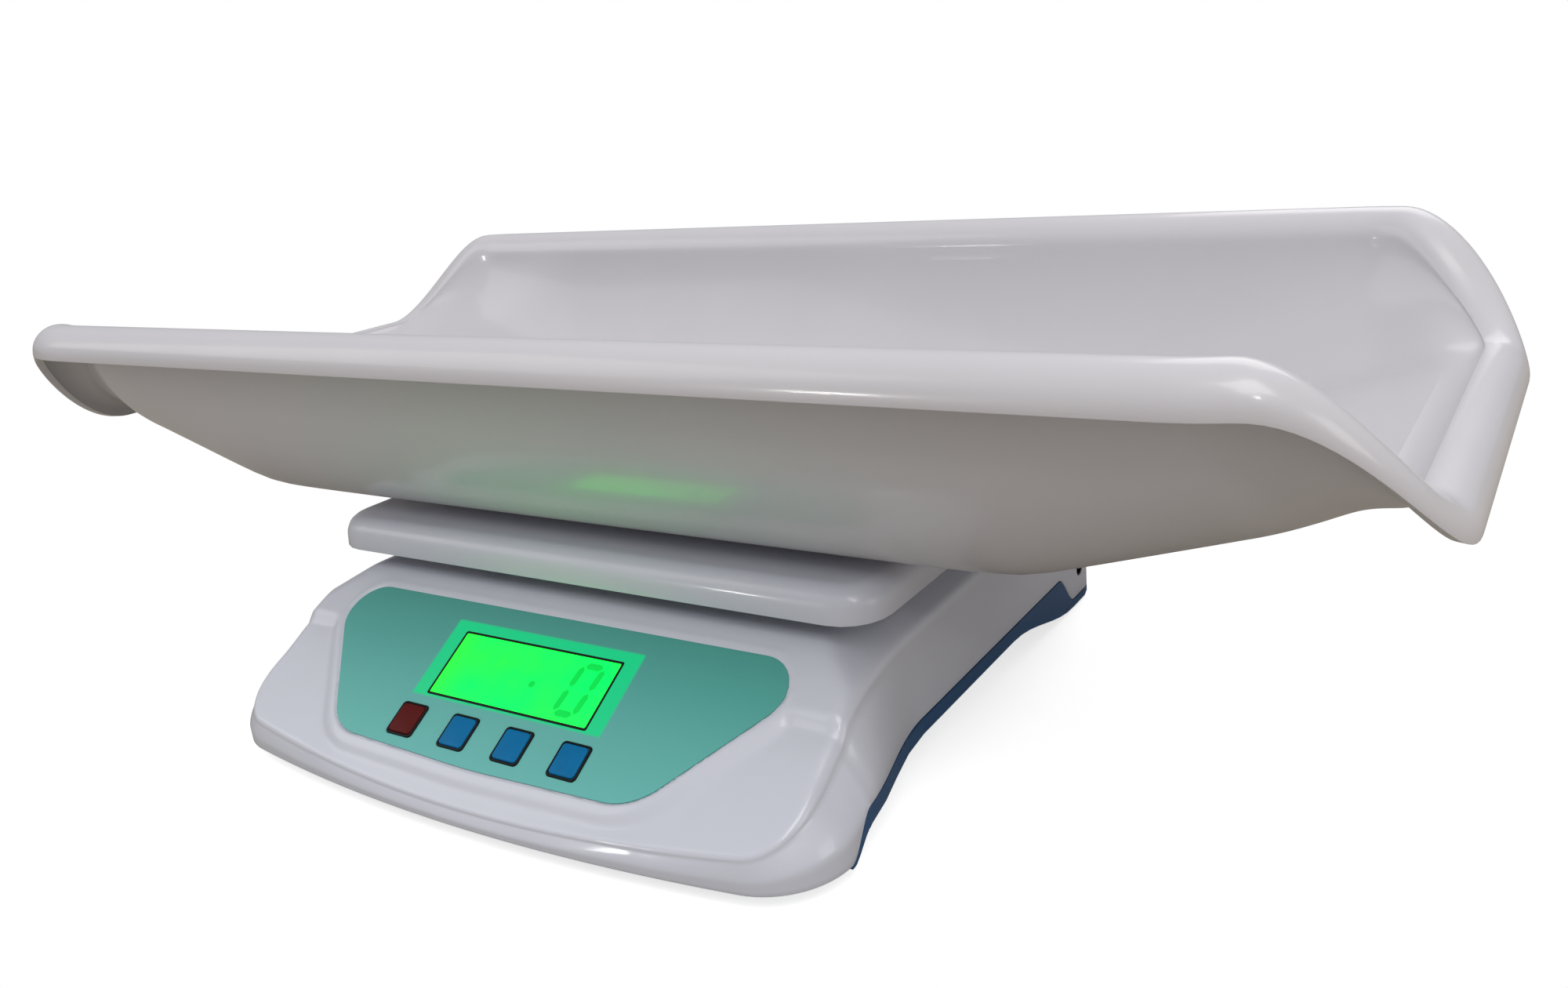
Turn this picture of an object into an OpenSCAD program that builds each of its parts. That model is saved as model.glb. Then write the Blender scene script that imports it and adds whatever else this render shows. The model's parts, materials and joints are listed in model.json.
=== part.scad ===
// Digital baby weighing scale: a baby tray on a weighing platform, over a housing with a
// sloping control panel. Millimetres, +Z up, front towards -Y. The origin lies on the
// table, under the middle of the whole object.

/* [Housing] */
// Width of the housing along its parallel sides
body_w = 236; // [225:1:250]
// How far each side flares out at the control panel
flare_w = 10; // [6:1:12]
// Distance from the origin to the middle of the front edge
body_front = 146; // [142:1:156]
// Distance from the origin to the rear wall
body_rear = 118; // [112:1:126]
// How far the front edge bows back at its ends
front_bow = 11.8; // [6:0.2:16]
// Corner radius of the front, seen from above
front_corner_r = 26.6; // [18:0.2:32]
// Corner radius of the rear, seen from above
rear_corner_r = 14.5; // [14:0.5:20]
// Where the flare starts, measured along Y
flare_start_y = -47; // [-55:1:-35]
// Length over which the flare opens
flare_len = 60; // [45:1:66]
// Wall thickness of the two housings
wall = 2.5; // [2:0.1:3]
// Height of the deck under the platform
deck_z = 56; // [54:0.5:58]
// Height of the edge where the deck's shoulder meets the side wall
shoulder_z = 47.4; // [45:0.2:49]
// Width of each sloping shoulder of the deck
shoulder_w = 14; // [10:0.5:18]
// Rounding between the side walls and the top
edge_r = 5; // [3.5:0.5:6]
// Rounding between the front and the top
front_edge_r = 2.5; // [2:0.5:3]
// Height of the front skirt's lower edge
skirt_z = 6; // [5:0.2:7]

/* [Lower housing] */
// Height of the line where white meets blue along the sides
parting_z = 18; // [16:0.5:20]
// Height of the blue band's lower edge along the sides
band_low_z = 12.3; // [11.5:0.1:13]
// Underside of the base pan's floor
floor_z = 8.5; // [8:0.1:9]
// Clearance between the two housings
seam_gap = 0.3; // [0.2:0.05:0.5]

/* [Control panel] */
// Slope of the control panel
panel_tilt = 30.7; // [26:0.1:34]
// Y of the display's centre
panel_y = -104.8; // [-107:0.1:-103]
// Height of the display's centre
panel_z = 38.2; // [36:0.1:40]
// Depth of the recessed apron below the label's plateau
apron_step = 2; // [1:0.1:2.5]
// Distance up the slope from the display to the apron's upper end
apron_top = 7.5; // [6:0.1:9]
// Margin of the plateau round the label
plateau_margin = 5; // [4:0.1:6]
// Half width of the label at its top
label_top_hw = 109.9; // [104:0.1:111]
// Half width of the label at its bottom
label_low_hw = 65.7; // [60:0.1:72]
// Distance from the display's centre to the label's top edge
label_up = 25.1; // [23:0.1:27]
// Distance from the display's centre to the label's bottom corners
label_down = 33.3; // [32:0.1:34]
// Corner radius of the label at its top
label_top_r = 12.3; // [8:0.1:16]
// Corner radius of the label at its bottom
label_low_r = 21.7; // [14:0.1:26]
// Thickness of the label
label_t = 0.5; // [0.4:0.05:0.8]

/* [Display] */
// Width of the display window
lcd_w = 71.8; // [66:0.1:76]
// Height of the display window
lcd_h = 26.4; // [24:0.1:27]
// How far the display cell reaches past its window on each side
lcd_border = 2.3; // [1.8:0.1:2.4]
// Thickness of the display cell
lcd_t = 2.8; // [2:0.1:3]
// Thickness of the backlight
backlight_t = 3.4; // [2.8:0.1:3.6]

/* [Keys] */
// Distance between the centres of neighbouring keys
key_pitch = 24.2; // [20:0.1:26]
// Width of the black frame round a key
key_w = 12.1; // [11:0.1:14]
// Height of the black frame round a key
key_h = 12.7; // [11:0.1:13]
// Width of the frame's own bar
key_frame_bar = 0.9; // [0.6:0.1:1.2]
// Distance down the slope from the display's centre to the keys
key_down = 24.1; // [23.8:0.1:25]
// Clearance round a key cap
key_gap = 0.25; // [0.2:0.05:0.4]
// Travel of a key
key_travel = 0.6; // [0.4:0.05:0.65]
// How far a key cap stands above the label
key_proud = 0.9; // [0.7:0.1:1.4]

/* [Platform] */
// Width of the weighing platform
platform_w = 240; // [230:1:250]
// Depth of the weighing platform
platform_d = 190; // [180:1:200]
// Height of the platform's lower edge
platform_z = 62.5; // [60.5:0.5:64]
// Height of the platform itself
platform_h = 11.5; // [10:0.5:14]
// Corner radius of the platform
platform_r = 15; // [10:1:20]
// Rounding of the platform's top edge
platform_edge_r = 6.5; // [4:0.5:8]
// Distance between the platform's posts along X
post_dx = 150; // [140:1:160]
// Distance between the platform's posts along Y
post_dy = 110; // [100:1:116]
// Diameter of a post
post_d = 14; // [12:0.5:16]
// Y of the platform's and the tray's centre
pan_y = 15; // [12:0.5:18]

/* [Tray] */
// Length of the tray over its rims
tray_l = 548.5; // [530:0.5:570]
// Width of the tray over its rims
tray_w = 266.6; // [256:0.2:274]
// Wall thickness of the tray
tray_t = 3; // [2.5:0.1:4]
// Thickness of the pads between the platform and the tray
tray_pad_t = 5; // [3:0.1:7]
// Height of the tray's long rims above its underside
tray_rim_h = 75.1; // [66:0.1:80]
// Height of the tray's end rims above its underside
tray_end_h = 35.3; // [32:0.1:38]
// Radius of the rolled rim along the long sides
rim_r = 10.5; // [9:0.5:13]
// Radius of the rolled rim at the ends
end_rim_r = 10.3; // [9:0.1:12]
// Half length of the floor with its slopes
floor_hl = 250.5; // [240:0.5:252]
// Corner radius of the floor
floor_r = 27.5; // [18:0.5:32]
// Half width of the flat floor
floor_hw = 77; // [70:1:80]
// Half length of the level part of the floor
floor_level_hl = 162; // [140:1:170]
// Slope of the floor towards the ends
floor_slope = 16.8; // [12:0.1:17]
// Corner radius of the rim's crest, seen from above
crest_corner_r = 50; // [45:1:70]
// Fullness of the bowl's wall: larger is more square
bowl_power = 1.64; // [1.5:0.02:3]
// Depth of the straight lip under the rolled rim
lip_h = 1.2; // [0.8:0.1:4]

/* [Load cell] */
// Length of the load cell
cell_l = 130; // [120:1:140]
// Width of the load cell
cell_w = 30; // [24:1:36]
// Height of the load cell
cell_h = 22; // [18:0.5:22]
// Thickness of the spacers under and over the load cell
spacer_t = 3; // [2:0.1:3.4]
// Thickness of the carrier plate
carrier_t = 2.5; // [2:0.1:3]
// Running travel of the carrier under full load
weigh_travel = 0.5; // [0.3:0.05:0.6]
// Gap left above the overload stops at full load
stop_reserve = 0.3; // [0.2:0.05:0.5]

/* [Feet and battery] */
// Diameter of a foot
foot_d = 22; // [18:0.5:26]
// Distance between the rear feet
foot_dx = 206; // [196:1:208]
// Y of the rear feet
foot_rear_y = 77; // [70:1:84]
// Y of the front feet
foot_front_y = -104; // [-108:1:-96]
// Diameter of a battery cell
battery_d = 14.5; // [14:0.1:15]
// Length of a battery cell
battery_l = 50.5; // [49:0.1:52]
// Diameter of the power socket's opening
jack_d = 6.4; // [5:0.1:7]
// Height of the power socket
jack_z = 15.4; // [15:0.1:16]
// Y of the power socket
jack_y = 98; // [96:0.5:100]

/* [Hidden] */

$fn = 32;
big = 400;

// ---- general functions ----------------------------------------------------------------

function unit2(v) = v / norm(v);
function mix(a, b, t) = a + (b - a) * t;
function clamp01(t) = min(1, max(0, t));
// Smooth step from 0 to 1
function smooth(t) = let(c = clamp01(t)) c * c * (3 - 2 * c);

// Outward normal of a closed outline that runs clockwise
function outline_normal(pts, i) =
  let(n = len(pts), d = pts[(i + 1) % n] - pts[(i + n - 1) % n])
  unit2([-d.y, d.x]);

// Outline moved inwards by one distance
function inset_outline(pts, e) =
  [for (i = [0:len(pts) - 1]) pts[i] - e * outline_normal(pts, i)];

// Corner points replaced by arcs of the given radii
function round_corners(pts, radii, steps) =
  [for (i = [0:len(pts) - 1])
    let(n = len(pts),
        p = pts[i],
        u = unit2(pts[(i + n - 1) % n] - p),
        v = unit2(pts[(i + 1) % n] - p),
        half_angle = acos(max(-1, min(1, u * v))) / 2,
        centre = p + unit2(u + v) * radii[i] / sin(half_angle),
        reach = radii[i] / tan(half_angle),
        from = p + u * reach - centre,
        to = p + v * reach - centre,
        a0 = atan2(from.y, from.x),
        raw = atan2(to.y, to.x) - a0,
        sweep = raw > 180 ? raw - 360 : raw < -180 ? raw + 360 : raw)
    for (k = [0:steps])
      let(a = a0 + sweep * k / steps)
      centre + radii[i] * [cos(a), sin(a)]];

// One moulded skin, joined before anything else meets it
module moulded() {
  resize([0, 0, 0]) union() {
    $fn = 20;
    children();
  }
}

// Closed solid from rings that run clockwise, lowest ring first
module loft(rings) {
  n = len(rings[0]);
  m = len(rings);
  points = [for (ring = rings) for (p = ring) p];
  walls = [for (k = [0:m - 2]) for (i = [0:n - 1])
    for (f = [[k * n + i, k * n + (i + 1) % n, (k + 1) * n + (i + 1) % n],
              [k * n + i, (k + 1) * n + (i + 1) % n, (k + 1) * n + i]]) f];
  caps = [[for (i = [n - 1:-1:0]) i], [for (i = [0:n - 1]) (m - 1) * n + i]];
  polyhedron(points, concat(walls, caps));
}

// Plate with round corners, its lower face at z = 0
module round_plate(w, d, h, r) {
  translate([-w / 2 + r, -d / 2, 0]) cube([w - 2 * r, d, h]);
  translate([-w / 2, -d / 2 + r, 0]) cube([w, d - 2 * r, h]);
  for (x = [-1, 1], y = [-1, 1])
    translate([x * (w / 2 - r), y * (d / 2 - r), 0]) cylinder(h = h, r = r);
}

// Clockwise rectangle with round corners at height z
plate_corner_steps = 6;
function plate_ring(w, d, r, z) =
  [for (c = [[1, 1, 90], [1, -1, 0], [-1, -1, -90], [-1, 1, 180]])
    for (k = [0:plate_corner_steps])
      let(a = c.z - 90 * k / plate_corner_steps)
      [c.x * (w / 2 - r) + r * cos(a), c.y * (d / 2 - r) + r * sin(a), z]];

// Plate with round corners and a rounded top edge
module crowned_plate(w, d, h, r, edge, draft) {
  loft(concat(
    [plate_ring(w, d, r, 0)],
    [for (k = [0:5])
      let(a = 85 * k / 5, e = draft + edge * (1 - cos(a)))
      plate_ring(w - 2 * e, d - 2 * e, r - e, h - edge * (1 - sin(a)))]));
}

// The four corners of a rectangle about the platform's centre
module pan_corners(dx, dy) {
  for (x = [-1, 1], y = [-1, 1]) translate([x * dx / 2, pan_y + y * dy / 2, 0]) children();
}

// Places its children on the control panel: X right, Y up the slope, Z out of it
module on_panel() {
  translate([0, panel_y, panel_z]) rotate([panel_tilt, 0, 0]) children();
}

// ---- outline of the housing, seen from above ------------------------------------------

body_hw = body_w / 2;
front_hw = body_hw + flare_w;
function flare(y) = smooth((flare_start_y - y) / flare_len);
function side_x(y) = body_hw + flare_w * flare(y);
function front_y(x) = -body_front + front_bow * pow(x / front_hw, 2);

front_centre_x = front_hw - front_corner_r;
bow_angle = atan(2 * front_bow * (front_centre_x + 4) / pow(front_hw, 2));
front_touch_x = front_centre_x + front_corner_r * sin(bow_angle);
front_centre_y = front_y(front_touch_x) + front_corner_r * cos(bow_angle);
rear_steps = 4;
flare_steps = 4;
corner_steps = 6;
front_steps = 4;

// Each entry: x, y and how far round the front it lies, from 0 on the side to 1
housing_half = concat(
  [for (x = [0, 0.5]) [x * (body_hw - rear_corner_r), body_rear, 0]],
  [for (k = [0:rear_steps]) let(a = 90 - 90 * k / rear_steps)
    [body_hw - rear_corner_r + rear_corner_r * cos(a),
     body_rear - rear_corner_r + rear_corner_r * sin(a), 0]],
  [[body_hw, pan_y + 20, 0]],
  [for (k = [0:flare_steps]) let(y = flare_start_y - (flare_len - 6) * k / flare_steps)
    [side_x(y), y, 0]],
  [for (k = [0:corner_steps]) let(a = -(90 - bow_angle) * k / corner_steps)
    [front_centre_x + front_corner_r * cos(a), front_centre_y + front_corner_r * sin(a),
     k / corner_steps]],
  [for (k = [1:front_steps]) let(x = front_touch_x * (1 - k / front_steps))
    [x, front_y(x), 1]]);
housing_full = concat(housing_half,
  [for (i = [len(housing_half) - 2:-1:1])
    [-housing_half[i].x, housing_half[i].y, housing_half[i].z]]);
housing_outline = [for (p = housing_full) [p.x, p.y]];

// ---- outer form of the upper housing ---------------------------------------------------

side_lean = 2;
console_lean = 8;
front_lean = 1.5;
knee_share = 0.42;
last_turn = 3;
cap_rise = 3;
// How far the wall leans inwards between its foot and its top
function lean(p) =
  mix(mix(side_lean, console_lean, flare(p.y)), front_lean, smooth(p.z));
function edge_radius(p, inset) =
  max(1, mix(edge_r, front_edge_r, smooth(p.z)) - inset);

// Height of the panel's plateau over a point, and of the lowest top plane there
function plateau_z(y) = panel_z + (y - panel_y) * tan(panel_tilt);
shoulder_x = body_hw - side_lean;
shoulder_fall = (deck_z - shoulder_z) / shoulder_w;
function shoulder_top(x) = shoulder_z + (shoulder_x - abs(x)) * shoulder_fall;
function apron_z(y) = plateau_z(y) - apron_step / cos(panel_tilt);
function top_z(p, drop) =
  min(deck_z - drop, shoulder_top(p.x) - drop, apron_z(p.y) - drop / cos(panel_tilt));

housing_n = len(housing_outline);
housing_normals = [for (i = [0:housing_n - 1]) outline_normal(housing_outline, i)];

// One ring of the walls. share runs from 0 at the top of the wall to 1 where the rounding
// meets the top, and over above the top from there.
function wall_ring(inset, share, over = 0) =
  [for (i = [0:housing_n - 1])
    let(p = housing_full[i],
        n = housing_normals[i],
        lean_e = inset + lean(p),
        r = edge_radius(p, inset),
        foot = housing_outline[i] - lean_e * n,
        inner = foot - 8 * n,
        slope = atan((top_z(inner, inset) - top_z(foot, inset)) / 8),
        turn = share * (90 - slope - last_turn),
        e = r * (1 - cos(turn)),
        z = top_z(foot, inset) + r * tan(slope) - r / cos(slope) + r * sin(turn),
        q = foot - (e + over * 0.3) * n)
    [q.x, q.y, z + over * (0.3 * tan(slope) + 1)]];
function foot_ring(inset, z) =
  [for (p = inset_outline(housing_outline, inset)) [p.x, p.y, z]];
// The ring where the upright foot of the wall starts to lean
function knee_ring(inset) =
  let(upper = wall_ring(inset, 0), lower = inset_outline(housing_outline, inset))
  [for (i = [0:housing_n - 1])
    [lower[i].x, lower[i].y,
     min(skirt_z + knee_share * (upper[i].z - skirt_z), upper[i].z - 0.4)]];
function levelled(ring, z) = [for (p = ring) [p.x, p.y, z]];

// Side profile of the top: panel, apron and deck
function slope_point(s) = [panel_y + s * cos(panel_tilt), panel_z + s * sin(panel_tilt)];
deck_meet_y = panel_y + (deck_z - panel_z) / tan(panel_tilt);
apron_foot_y = -body_front - 20;
module top_profile(drop) {
  step = slope_point(apron_top);
  fall = drop / cos(panel_tilt);
  polygon([
    [apron_foot_y, -20],
    [apron_foot_y, apron_z(apron_foot_y) - fall],
    [step.x, apron_z(step.x) - fall],
    [step.x - 0.8, step.y - fall],
    [deck_meet_y, deck_z - drop],
    [body_rear + 20, deck_z - drop],
    [body_rear + 20, -20]]);
}
// Front profile of the top: deck with its two sloping shoulders
module shoulder_profile(drop) {
  far = 40;
  fall = shoulder_fall;
  x0 = shoulder_x - shoulder_w;
  polygon([
    [-x0 - far, -20],
    [-x0 - far, deck_z - drop - fall * far],
    [-x0, deck_z - drop],
    [x0, deck_z - drop],
    [x0 + far, deck_z - drop - fall * far],
    [x0 + far, -20]]);
}

// The housing as a solid form, its walls moved in by inset
module housing_form(inset, foot) {
  intersection() {
    loft([
      foot_ring(inset, foot),
      knee_ring(inset),
      wall_ring(inset, 0),
      wall_ring(inset, 0.34),
      wall_ring(inset, 0.67),
      wall_ring(inset, 1),
      wall_ring(inset, 1, cap_rise),
      levelled(wall_ring(inset, 1, cap_rise), deck_z + 12)]);
    rotate([90, 0, 90]) translate([0, 0, -big / 2]) linear_extrude(big) top_profile(inset);
    rotate([90, 0, 0]) translate([0, 0, -big / 2]) linear_extrude(big) shoulder_profile(inset);
  }
}

// ---- outline of the label ----------------------------------------------------------------

label_bow = 2;
label_corners = [
  [label_top_hw, label_up], [label_low_hw, -label_down],
  [0, -label_down - label_bow],
  [-label_low_hw, -label_down], [-label_top_hw, label_up]];
label_outline = round_corners(label_corners,
  [label_top_r, label_low_r, 300, label_low_r, label_top_r], 8);

module label_shape(grow) {
  polygon(inset_outline(label_outline, -grow));
}

// ---- keys and display, placed on the panel ------------------------------------------------

key_n = 4;
key_xs = [for (i = [0:key_n - 1]) (i - (key_n - 1) / 2) * key_pitch];
cap_w = key_w - 2 * (key_frame_bar + key_gap);
cap_h = key_h - 2 * (key_frame_bar + key_gap);
hole_w = cap_w + 2 * key_gap;
hole_h = cap_h + 2 * key_gap;
shell_under = -label_t - wall;
flange_t = 1;
flange_gap = 0.3;
flange_over = 0.9;
stem_d = 5;
board_t = 1.6;
board_top = -10.9;
board_w = 124;
board_up = 22;
board_down = 29;
switch_body_t = 2.8;
switch_body_w = 6;
plunger_d = 3.4;
plunger_gap = 0.1;
stem_end = shell_under - flange_gap - flange_t - 1.9;
plunger_top = stem_end - key_travel - plunger_gap;
board_hole_x = 56;
board_hole_up = [17, -26];
lcd_top = shell_under - 0.3;
backlight_top = lcd_top - lcd_t;
frame_t = 1.1;
frame_gap = 0.25;
lcd_cell_w = lcd_w + 2 * lcd_border + 2;
lcd_cell_h = lcd_h + 2 * lcd_border;

module at_key(i) {
  translate([key_xs[i], -key_down, 0]) children();
}
module plate(w, h, low, high) {
  translate([-w / 2, -h / 2, low]) cube([w, h, high - low]);
}

// ---- fixing points ---------------------------------------------------------------------

// Screws that hold the two housings together
housing_screw_at = [[98, -84], [-98, -84], [body_hw - 18, 34], [-body_hw + 18, 34],
                    [98, body_rear - 18], [-98, body_rear - 18]];
screw_d = 3;
screw_head_d = 5.6;
screw_head_t = 2;
boss_d = 8;
floor_top = floor_z + wall;
cell_z = floor_top + spacer_t;
cell_end_x = cell_l / 2 - 14;
cell_hole_dx = 15;
carrier_z = cell_z + cell_h + spacer_t;
pad_t = 3;
pad_z = carrier_z + carrier_t;
post_end_z = pad_z + pad_t;
stop_dx = 124;
stop_dy = 84;
stop_top_z = carrier_z - weigh_travel - stop_reserve;
stop_head_t = 2.5;
stop_post_d = 10;
battery_n = 4;
battery_pitch = battery_d + 0.6;
box_wall = 1.6;
box_w = battery_n * battery_pitch + 1;
box_d = battery_l + 6;
box_y = 75;
box_top = floor_z + battery_d + 3.2;
door_t = 2;
door_gap = 0.2;
door_margin = 3;
rail_t = 2;
foot_h = 4.8;
pod_low = 3.5;
foot_at = [[foot_dx / 2, foot_rear_y], [-foot_dx / 2, foot_rear_y],
           [foot_dx / 2 - 6, foot_front_y], [-foot_dx / 2 + 6, foot_front_y]];
leg_low_z = 1;
rear_white_z = 4.3;
seat_gap = 0.2;
bore_gap = 0.3;
boss_gap = 0.15;

// ---- parting between the two housings ---------------------------------------------------

front_tip_y = -113;
front_rise_y = -100;
rear_fall_y = 75;
rear_low_y = 91;
// Lower edge of the white housing over Y
function white_low(y) =
  y < rear_fall_y
    ? mix(skirt_z, parting_z, smooth((y - front_tip_y) / (front_rise_y - front_tip_y)))
    : mix(parting_z, rear_white_z, smooth((y - rear_fall_y) / (rear_low_y - rear_fall_y)));
// Lower edge of the blue band over Y
function band_low(y) =
  y < 0
    ? mix(skirt_z - 1, band_low_z, smooth((y - front_tip_y) / (front_rise_y - front_tip_y)))
    : mix(band_low_z, leg_low_z, smooth((y - 28) / 62));
parting_ys = concat([for (k = [0:6]) mix(front_tip_y, front_rise_y, k / 6)],
  [for (k = [0:8]) mix(rear_fall_y, rear_low_y, k / 8)]);
band_ys = concat([for (k = [0:8]) mix(rear_low_y, 28, k / 8)],
  [for (k = [0:6]) mix(front_rise_y, front_tip_y, k / 6)]);
rear_far_y = body_rear + 10;

// Extrudes a side profile (Y, Z) right across the housing
module across(w) {
  rotate([90, 0, 90]) translate([0, 0, -w / 2]) linear_extrude(w) children();
}
module white_cut() {
  across(big) polygon(concat(
    [[-body_front - 30, -20], [-body_front - 30, skirt_z]],
    [for (y = parting_ys) [y, white_low(y)]],
    [[rear_far_y, rear_white_z], [rear_far_y, -20]]));
}
module band_region() {
  across(big) polygon(concat(
    [for (y = parting_ys) [y, white_low(y) - seam_gap]],
    [[rear_far_y, rear_white_z - seam_gap], [rear_far_y, leg_low_z]],
    [for (y = band_ys) [y, band_low(y)]]));
}

// ---- upper housing ------------------------------------------------------------------------

module plateau_slab(grow, low, high) {
  intersection() {
    on_panel() translate([0, 0, low]) linear_extrude(high - low) label_shape(grow);
    on_panel() translate([-big / 2, -big / 2, low - 5])
      cube([big, big / 2 + apron_top + 1, high - low + 10]);
  }
}

module upper_housing() color("gainsboro") {
  moulded() difference() {
    union() {
      difference() {
        union() {
          housing_form(0, rear_white_z);
          plateau_slab(plateau_margin, -wall - apron_step, 0);
        }
        housing_form(wall, -5);
        plateau_slab(plateau_margin - wall, -wall - apron_step - 3, -label_t - wall);
        white_cut();
      }
      intersection() {
        for (p = housing_screw_at) translate([p.x, p.y, floor_top + seat_gap])
          cylinder(h = deck_z, d = boss_d);
        housing_form(wall / 2, -5);
      }
      for (x = [-1, 1], up = board_hole_up) on_panel()
        translate([x * board_hole_x, up, board_top]) cylinder(h = -board_top - 2, d = board_boss_d);
    }
    on_panel() {
      translate([0, 0, -label_t]) linear_extrude(5) label_shape(seat_gap);
      plate(lcd_w + 1, lcd_h + 1, shell_under - 1, 1);
      for (i = [0:key_n - 1]) at_key(i) plate(hole_w, hole_h, shell_under - 1, 1);
      for (x = [-1, 1], up = board_hole_up)
        translate([x * board_hole_x, up, board_top - 1])
          cylinder(h = board_screw_l + 1, d = board_screw_d + boss_gap);
    }
    for (p = housing_screw_at) translate([p.x, p.y, floor_z])
      cylinder(h = screw_l + 2, d = screw_d + boss_gap);
    pan_corners(post_dx, post_dy) translate([0, 0, deck_z - 8])
      cylinder(h = 12, d = post_d + 5);
    translate([body_hw - 12, jack_y, jack_z]) rotate([0, 90, 0])
      cylinder(h = 30, d = jack_d + bore_gap);
  }
}

// ---- lower housing ------------------------------------------------------------------------

screw_l = 15;
tub_lip_z = band_low_z + 0.4;
tub_top_z = parting_z + 3;
tub_draft = 10;
rim_t = 1.8;
pan_inset = wall + seam_gap;
pod_d = foot_d + 4;
cell_screw_d = 4;
cell_screw_head_t = 1.8;
cell_screw_head_d = 7;

module tub(inset, low, lip, top) {
  loft([foot_ring(tub_draft + inset, low), foot_ring(1.5 + inset, lip), foot_ring(1.5 + inset, top)]);
}
module cell_holes_at(end) {
  for (k = [-1, 1]) translate([end * cell_end_x + k * cell_hole_dx / 2, pan_y, 0]) children();
}
module stops_at() {
  for (x = [-1, 1], y = [-1, 1])
    translate([x * stop_dx / 2, pan_y + y * stop_dy / 2, 0]) children();
}
jack_body_w = 9;
jack_body_l = 11;
stop_bore_d = 3;
stop_shank_l = 10;
board_boss_d = 6;
board_screw_d = 2.2;
board_screw_l = 6.5;

module lower_housing() color("steelblue") {
  moulded() difference() {
    union() {
      difference() {
        intersection() {
          housing_form(pan_inset, -5);
          tub(0, floor_z, tub_lip_z, tub_top_z);
        }
        tub(rim_t + 1.3, floor_top, tub_lip_z + wall, tub_top_z + 2);
      }
      difference() {
        intersection() {
          housing_form(0, 0);
          band_region();
        }
        housing_form(pan_inset + 0.5, -5);
        translate([-84, body_rear - 20, -5]) cube([168, 40, 40]);
      }
      for (p = foot_at) translate([p.x, p.y, pod_low])
        cylinder(h = floor_top - pod_low, d = pod_d);
      for (p = housing_screw_at) translate([p.x, p.y, floor_z])
        cylinder(h = wall, d = boss_d + 2);
      stops_at() translate([0, 0, floor_z + 0.5])
        cylinder(h = stop_top_z - stop_head_t - floor_z - 0.5, d = stop_post_d);
      translate([-box_w / 2 - box_wall, box_y - box_d / 2 - box_wall, floor_z])
        cube([box_w + 2 * box_wall, box_d + 2 * box_wall, box_top - floor_z]);
      door_rails();
    }
    translate([-box_w / 2, box_y - box_d / 2, floor_z - 1])
      cube([box_w, box_d, box_top - floor_z - box_wall + 1]);
    for (p = foot_at) translate([p.x, p.y, pod_low - 1])
      cylinder(h = foot_h - pod_low + 1 + seat_gap, d = foot_d + bore_gap);
    for (p = housing_screw_at) translate([p.x, p.y, floor_z - 1])
      cylinder(h = wall + 2, d = screw_d + bore_gap);
    cell_holes_at(-1) translate([0, 0, floor_z - 1])
      cylinder(h = wall + 2, d = cell_screw_d + bore_gap);
    stops_at() translate([0, 0, stop_top_z - stop_head_t - stop_shank_l - 2])
      cylinder(h = stop_shank_l + 10, d = stop_bore_d + boss_gap);
    translate([body_hw - 18, jack_y - jack_body_w / 2 - 1, floor_top])
      cube([20, jack_body_w + 2, 20]);
  }
}

// ---- battery door: it slides forwards out of two rails under the floor ------------------

door_w = box_w + 2 * door_margin;
door_d = box_d + 2 * door_margin;
door_top = floor_z - door_gap;
rail_lip = 1.6;
module door_rails() {
  for (s = [-1, 1]) {
    low = door_top - door_t - door_gap - rail_lip;
    x0 = door_w / 2 + door_gap;
    translate([s > 0 ? x0 : -x0 - rail_t, box_y - door_d / 2, low])
      cube([rail_t, door_d, floor_z + 0.5 - low]);
    translate([s > 0 ? x0 - 1.5 : -x0 - rail_t, box_y - door_d / 2, low])
      cube([rail_t + 1.5, door_d, rail_lip]);
  }
  translate([-door_w / 2, box_y + door_d / 2 + door_gap, door_top - door_t])
    cube([door_w, 2, door_t + door_gap + 0.5]);
}
module battery_door() color("steelblue") {
  difference() {
    translate([-door_w / 2, box_y - door_d / 2, door_top - door_t])
      cube([door_w, door_d, door_t]);
    for (k = [0:3]) translate([-12, box_y - door_d / 2 + 8 + 3 * k, door_top - door_t - 0.1])
      cube([24, 1.2, 0.7]);
  }
}

// ---- panel pieces --------------------------------------------------------------------------

module control_label() color("cadetblue") on_panel() difference() {
  translate([0, 0, -label_t]) linear_extrude(label_t) label_shape(0);
  plate(lcd_w, lcd_h, -2, 1);
  for (i = [0:key_n - 1]) at_key(i) plate(key_w + 0.1, key_h + 0.1, -2, 1);
}
module lcd_window() color("black") on_panel()
  plate(lcd_w - 0.1, lcd_h - 0.1, -label_t, 0);
module lcd_cell() color("limegreen") on_panel() plate(lcd_cell_w, lcd_cell_h, backlight_top, lcd_top);
module backlight() color("palegreen") on_panel()
  plate(lcd_cell_w - 1, lcd_cell_h - 1, backlight_top - backlight_t, backlight_top);
module display_frame() color("dimgray") on_panel() difference() {
  plate(lcd_cell_w + 2 * (frame_gap + frame_t), lcd_cell_h + 2 * (frame_gap + frame_t),
    board_top + 0.1, shell_under - seat_gap);
  plate(lcd_cell_w + 2 * frame_gap, lcd_cell_h + 2 * frame_gap,
    backlight_top - backlight_t - 0.1, 1);
  plate(lcd_cell_w - 8, lcd_cell_h - 8, board_top - 1, 1);
}
module key_frames() color("black") on_panel() for (i = [0:key_n - 1]) at_key(i) difference() {
  plate(key_w, key_h, -label_t, 0.5);
  plate(hole_w, hole_h, -2, 2);
}
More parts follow.
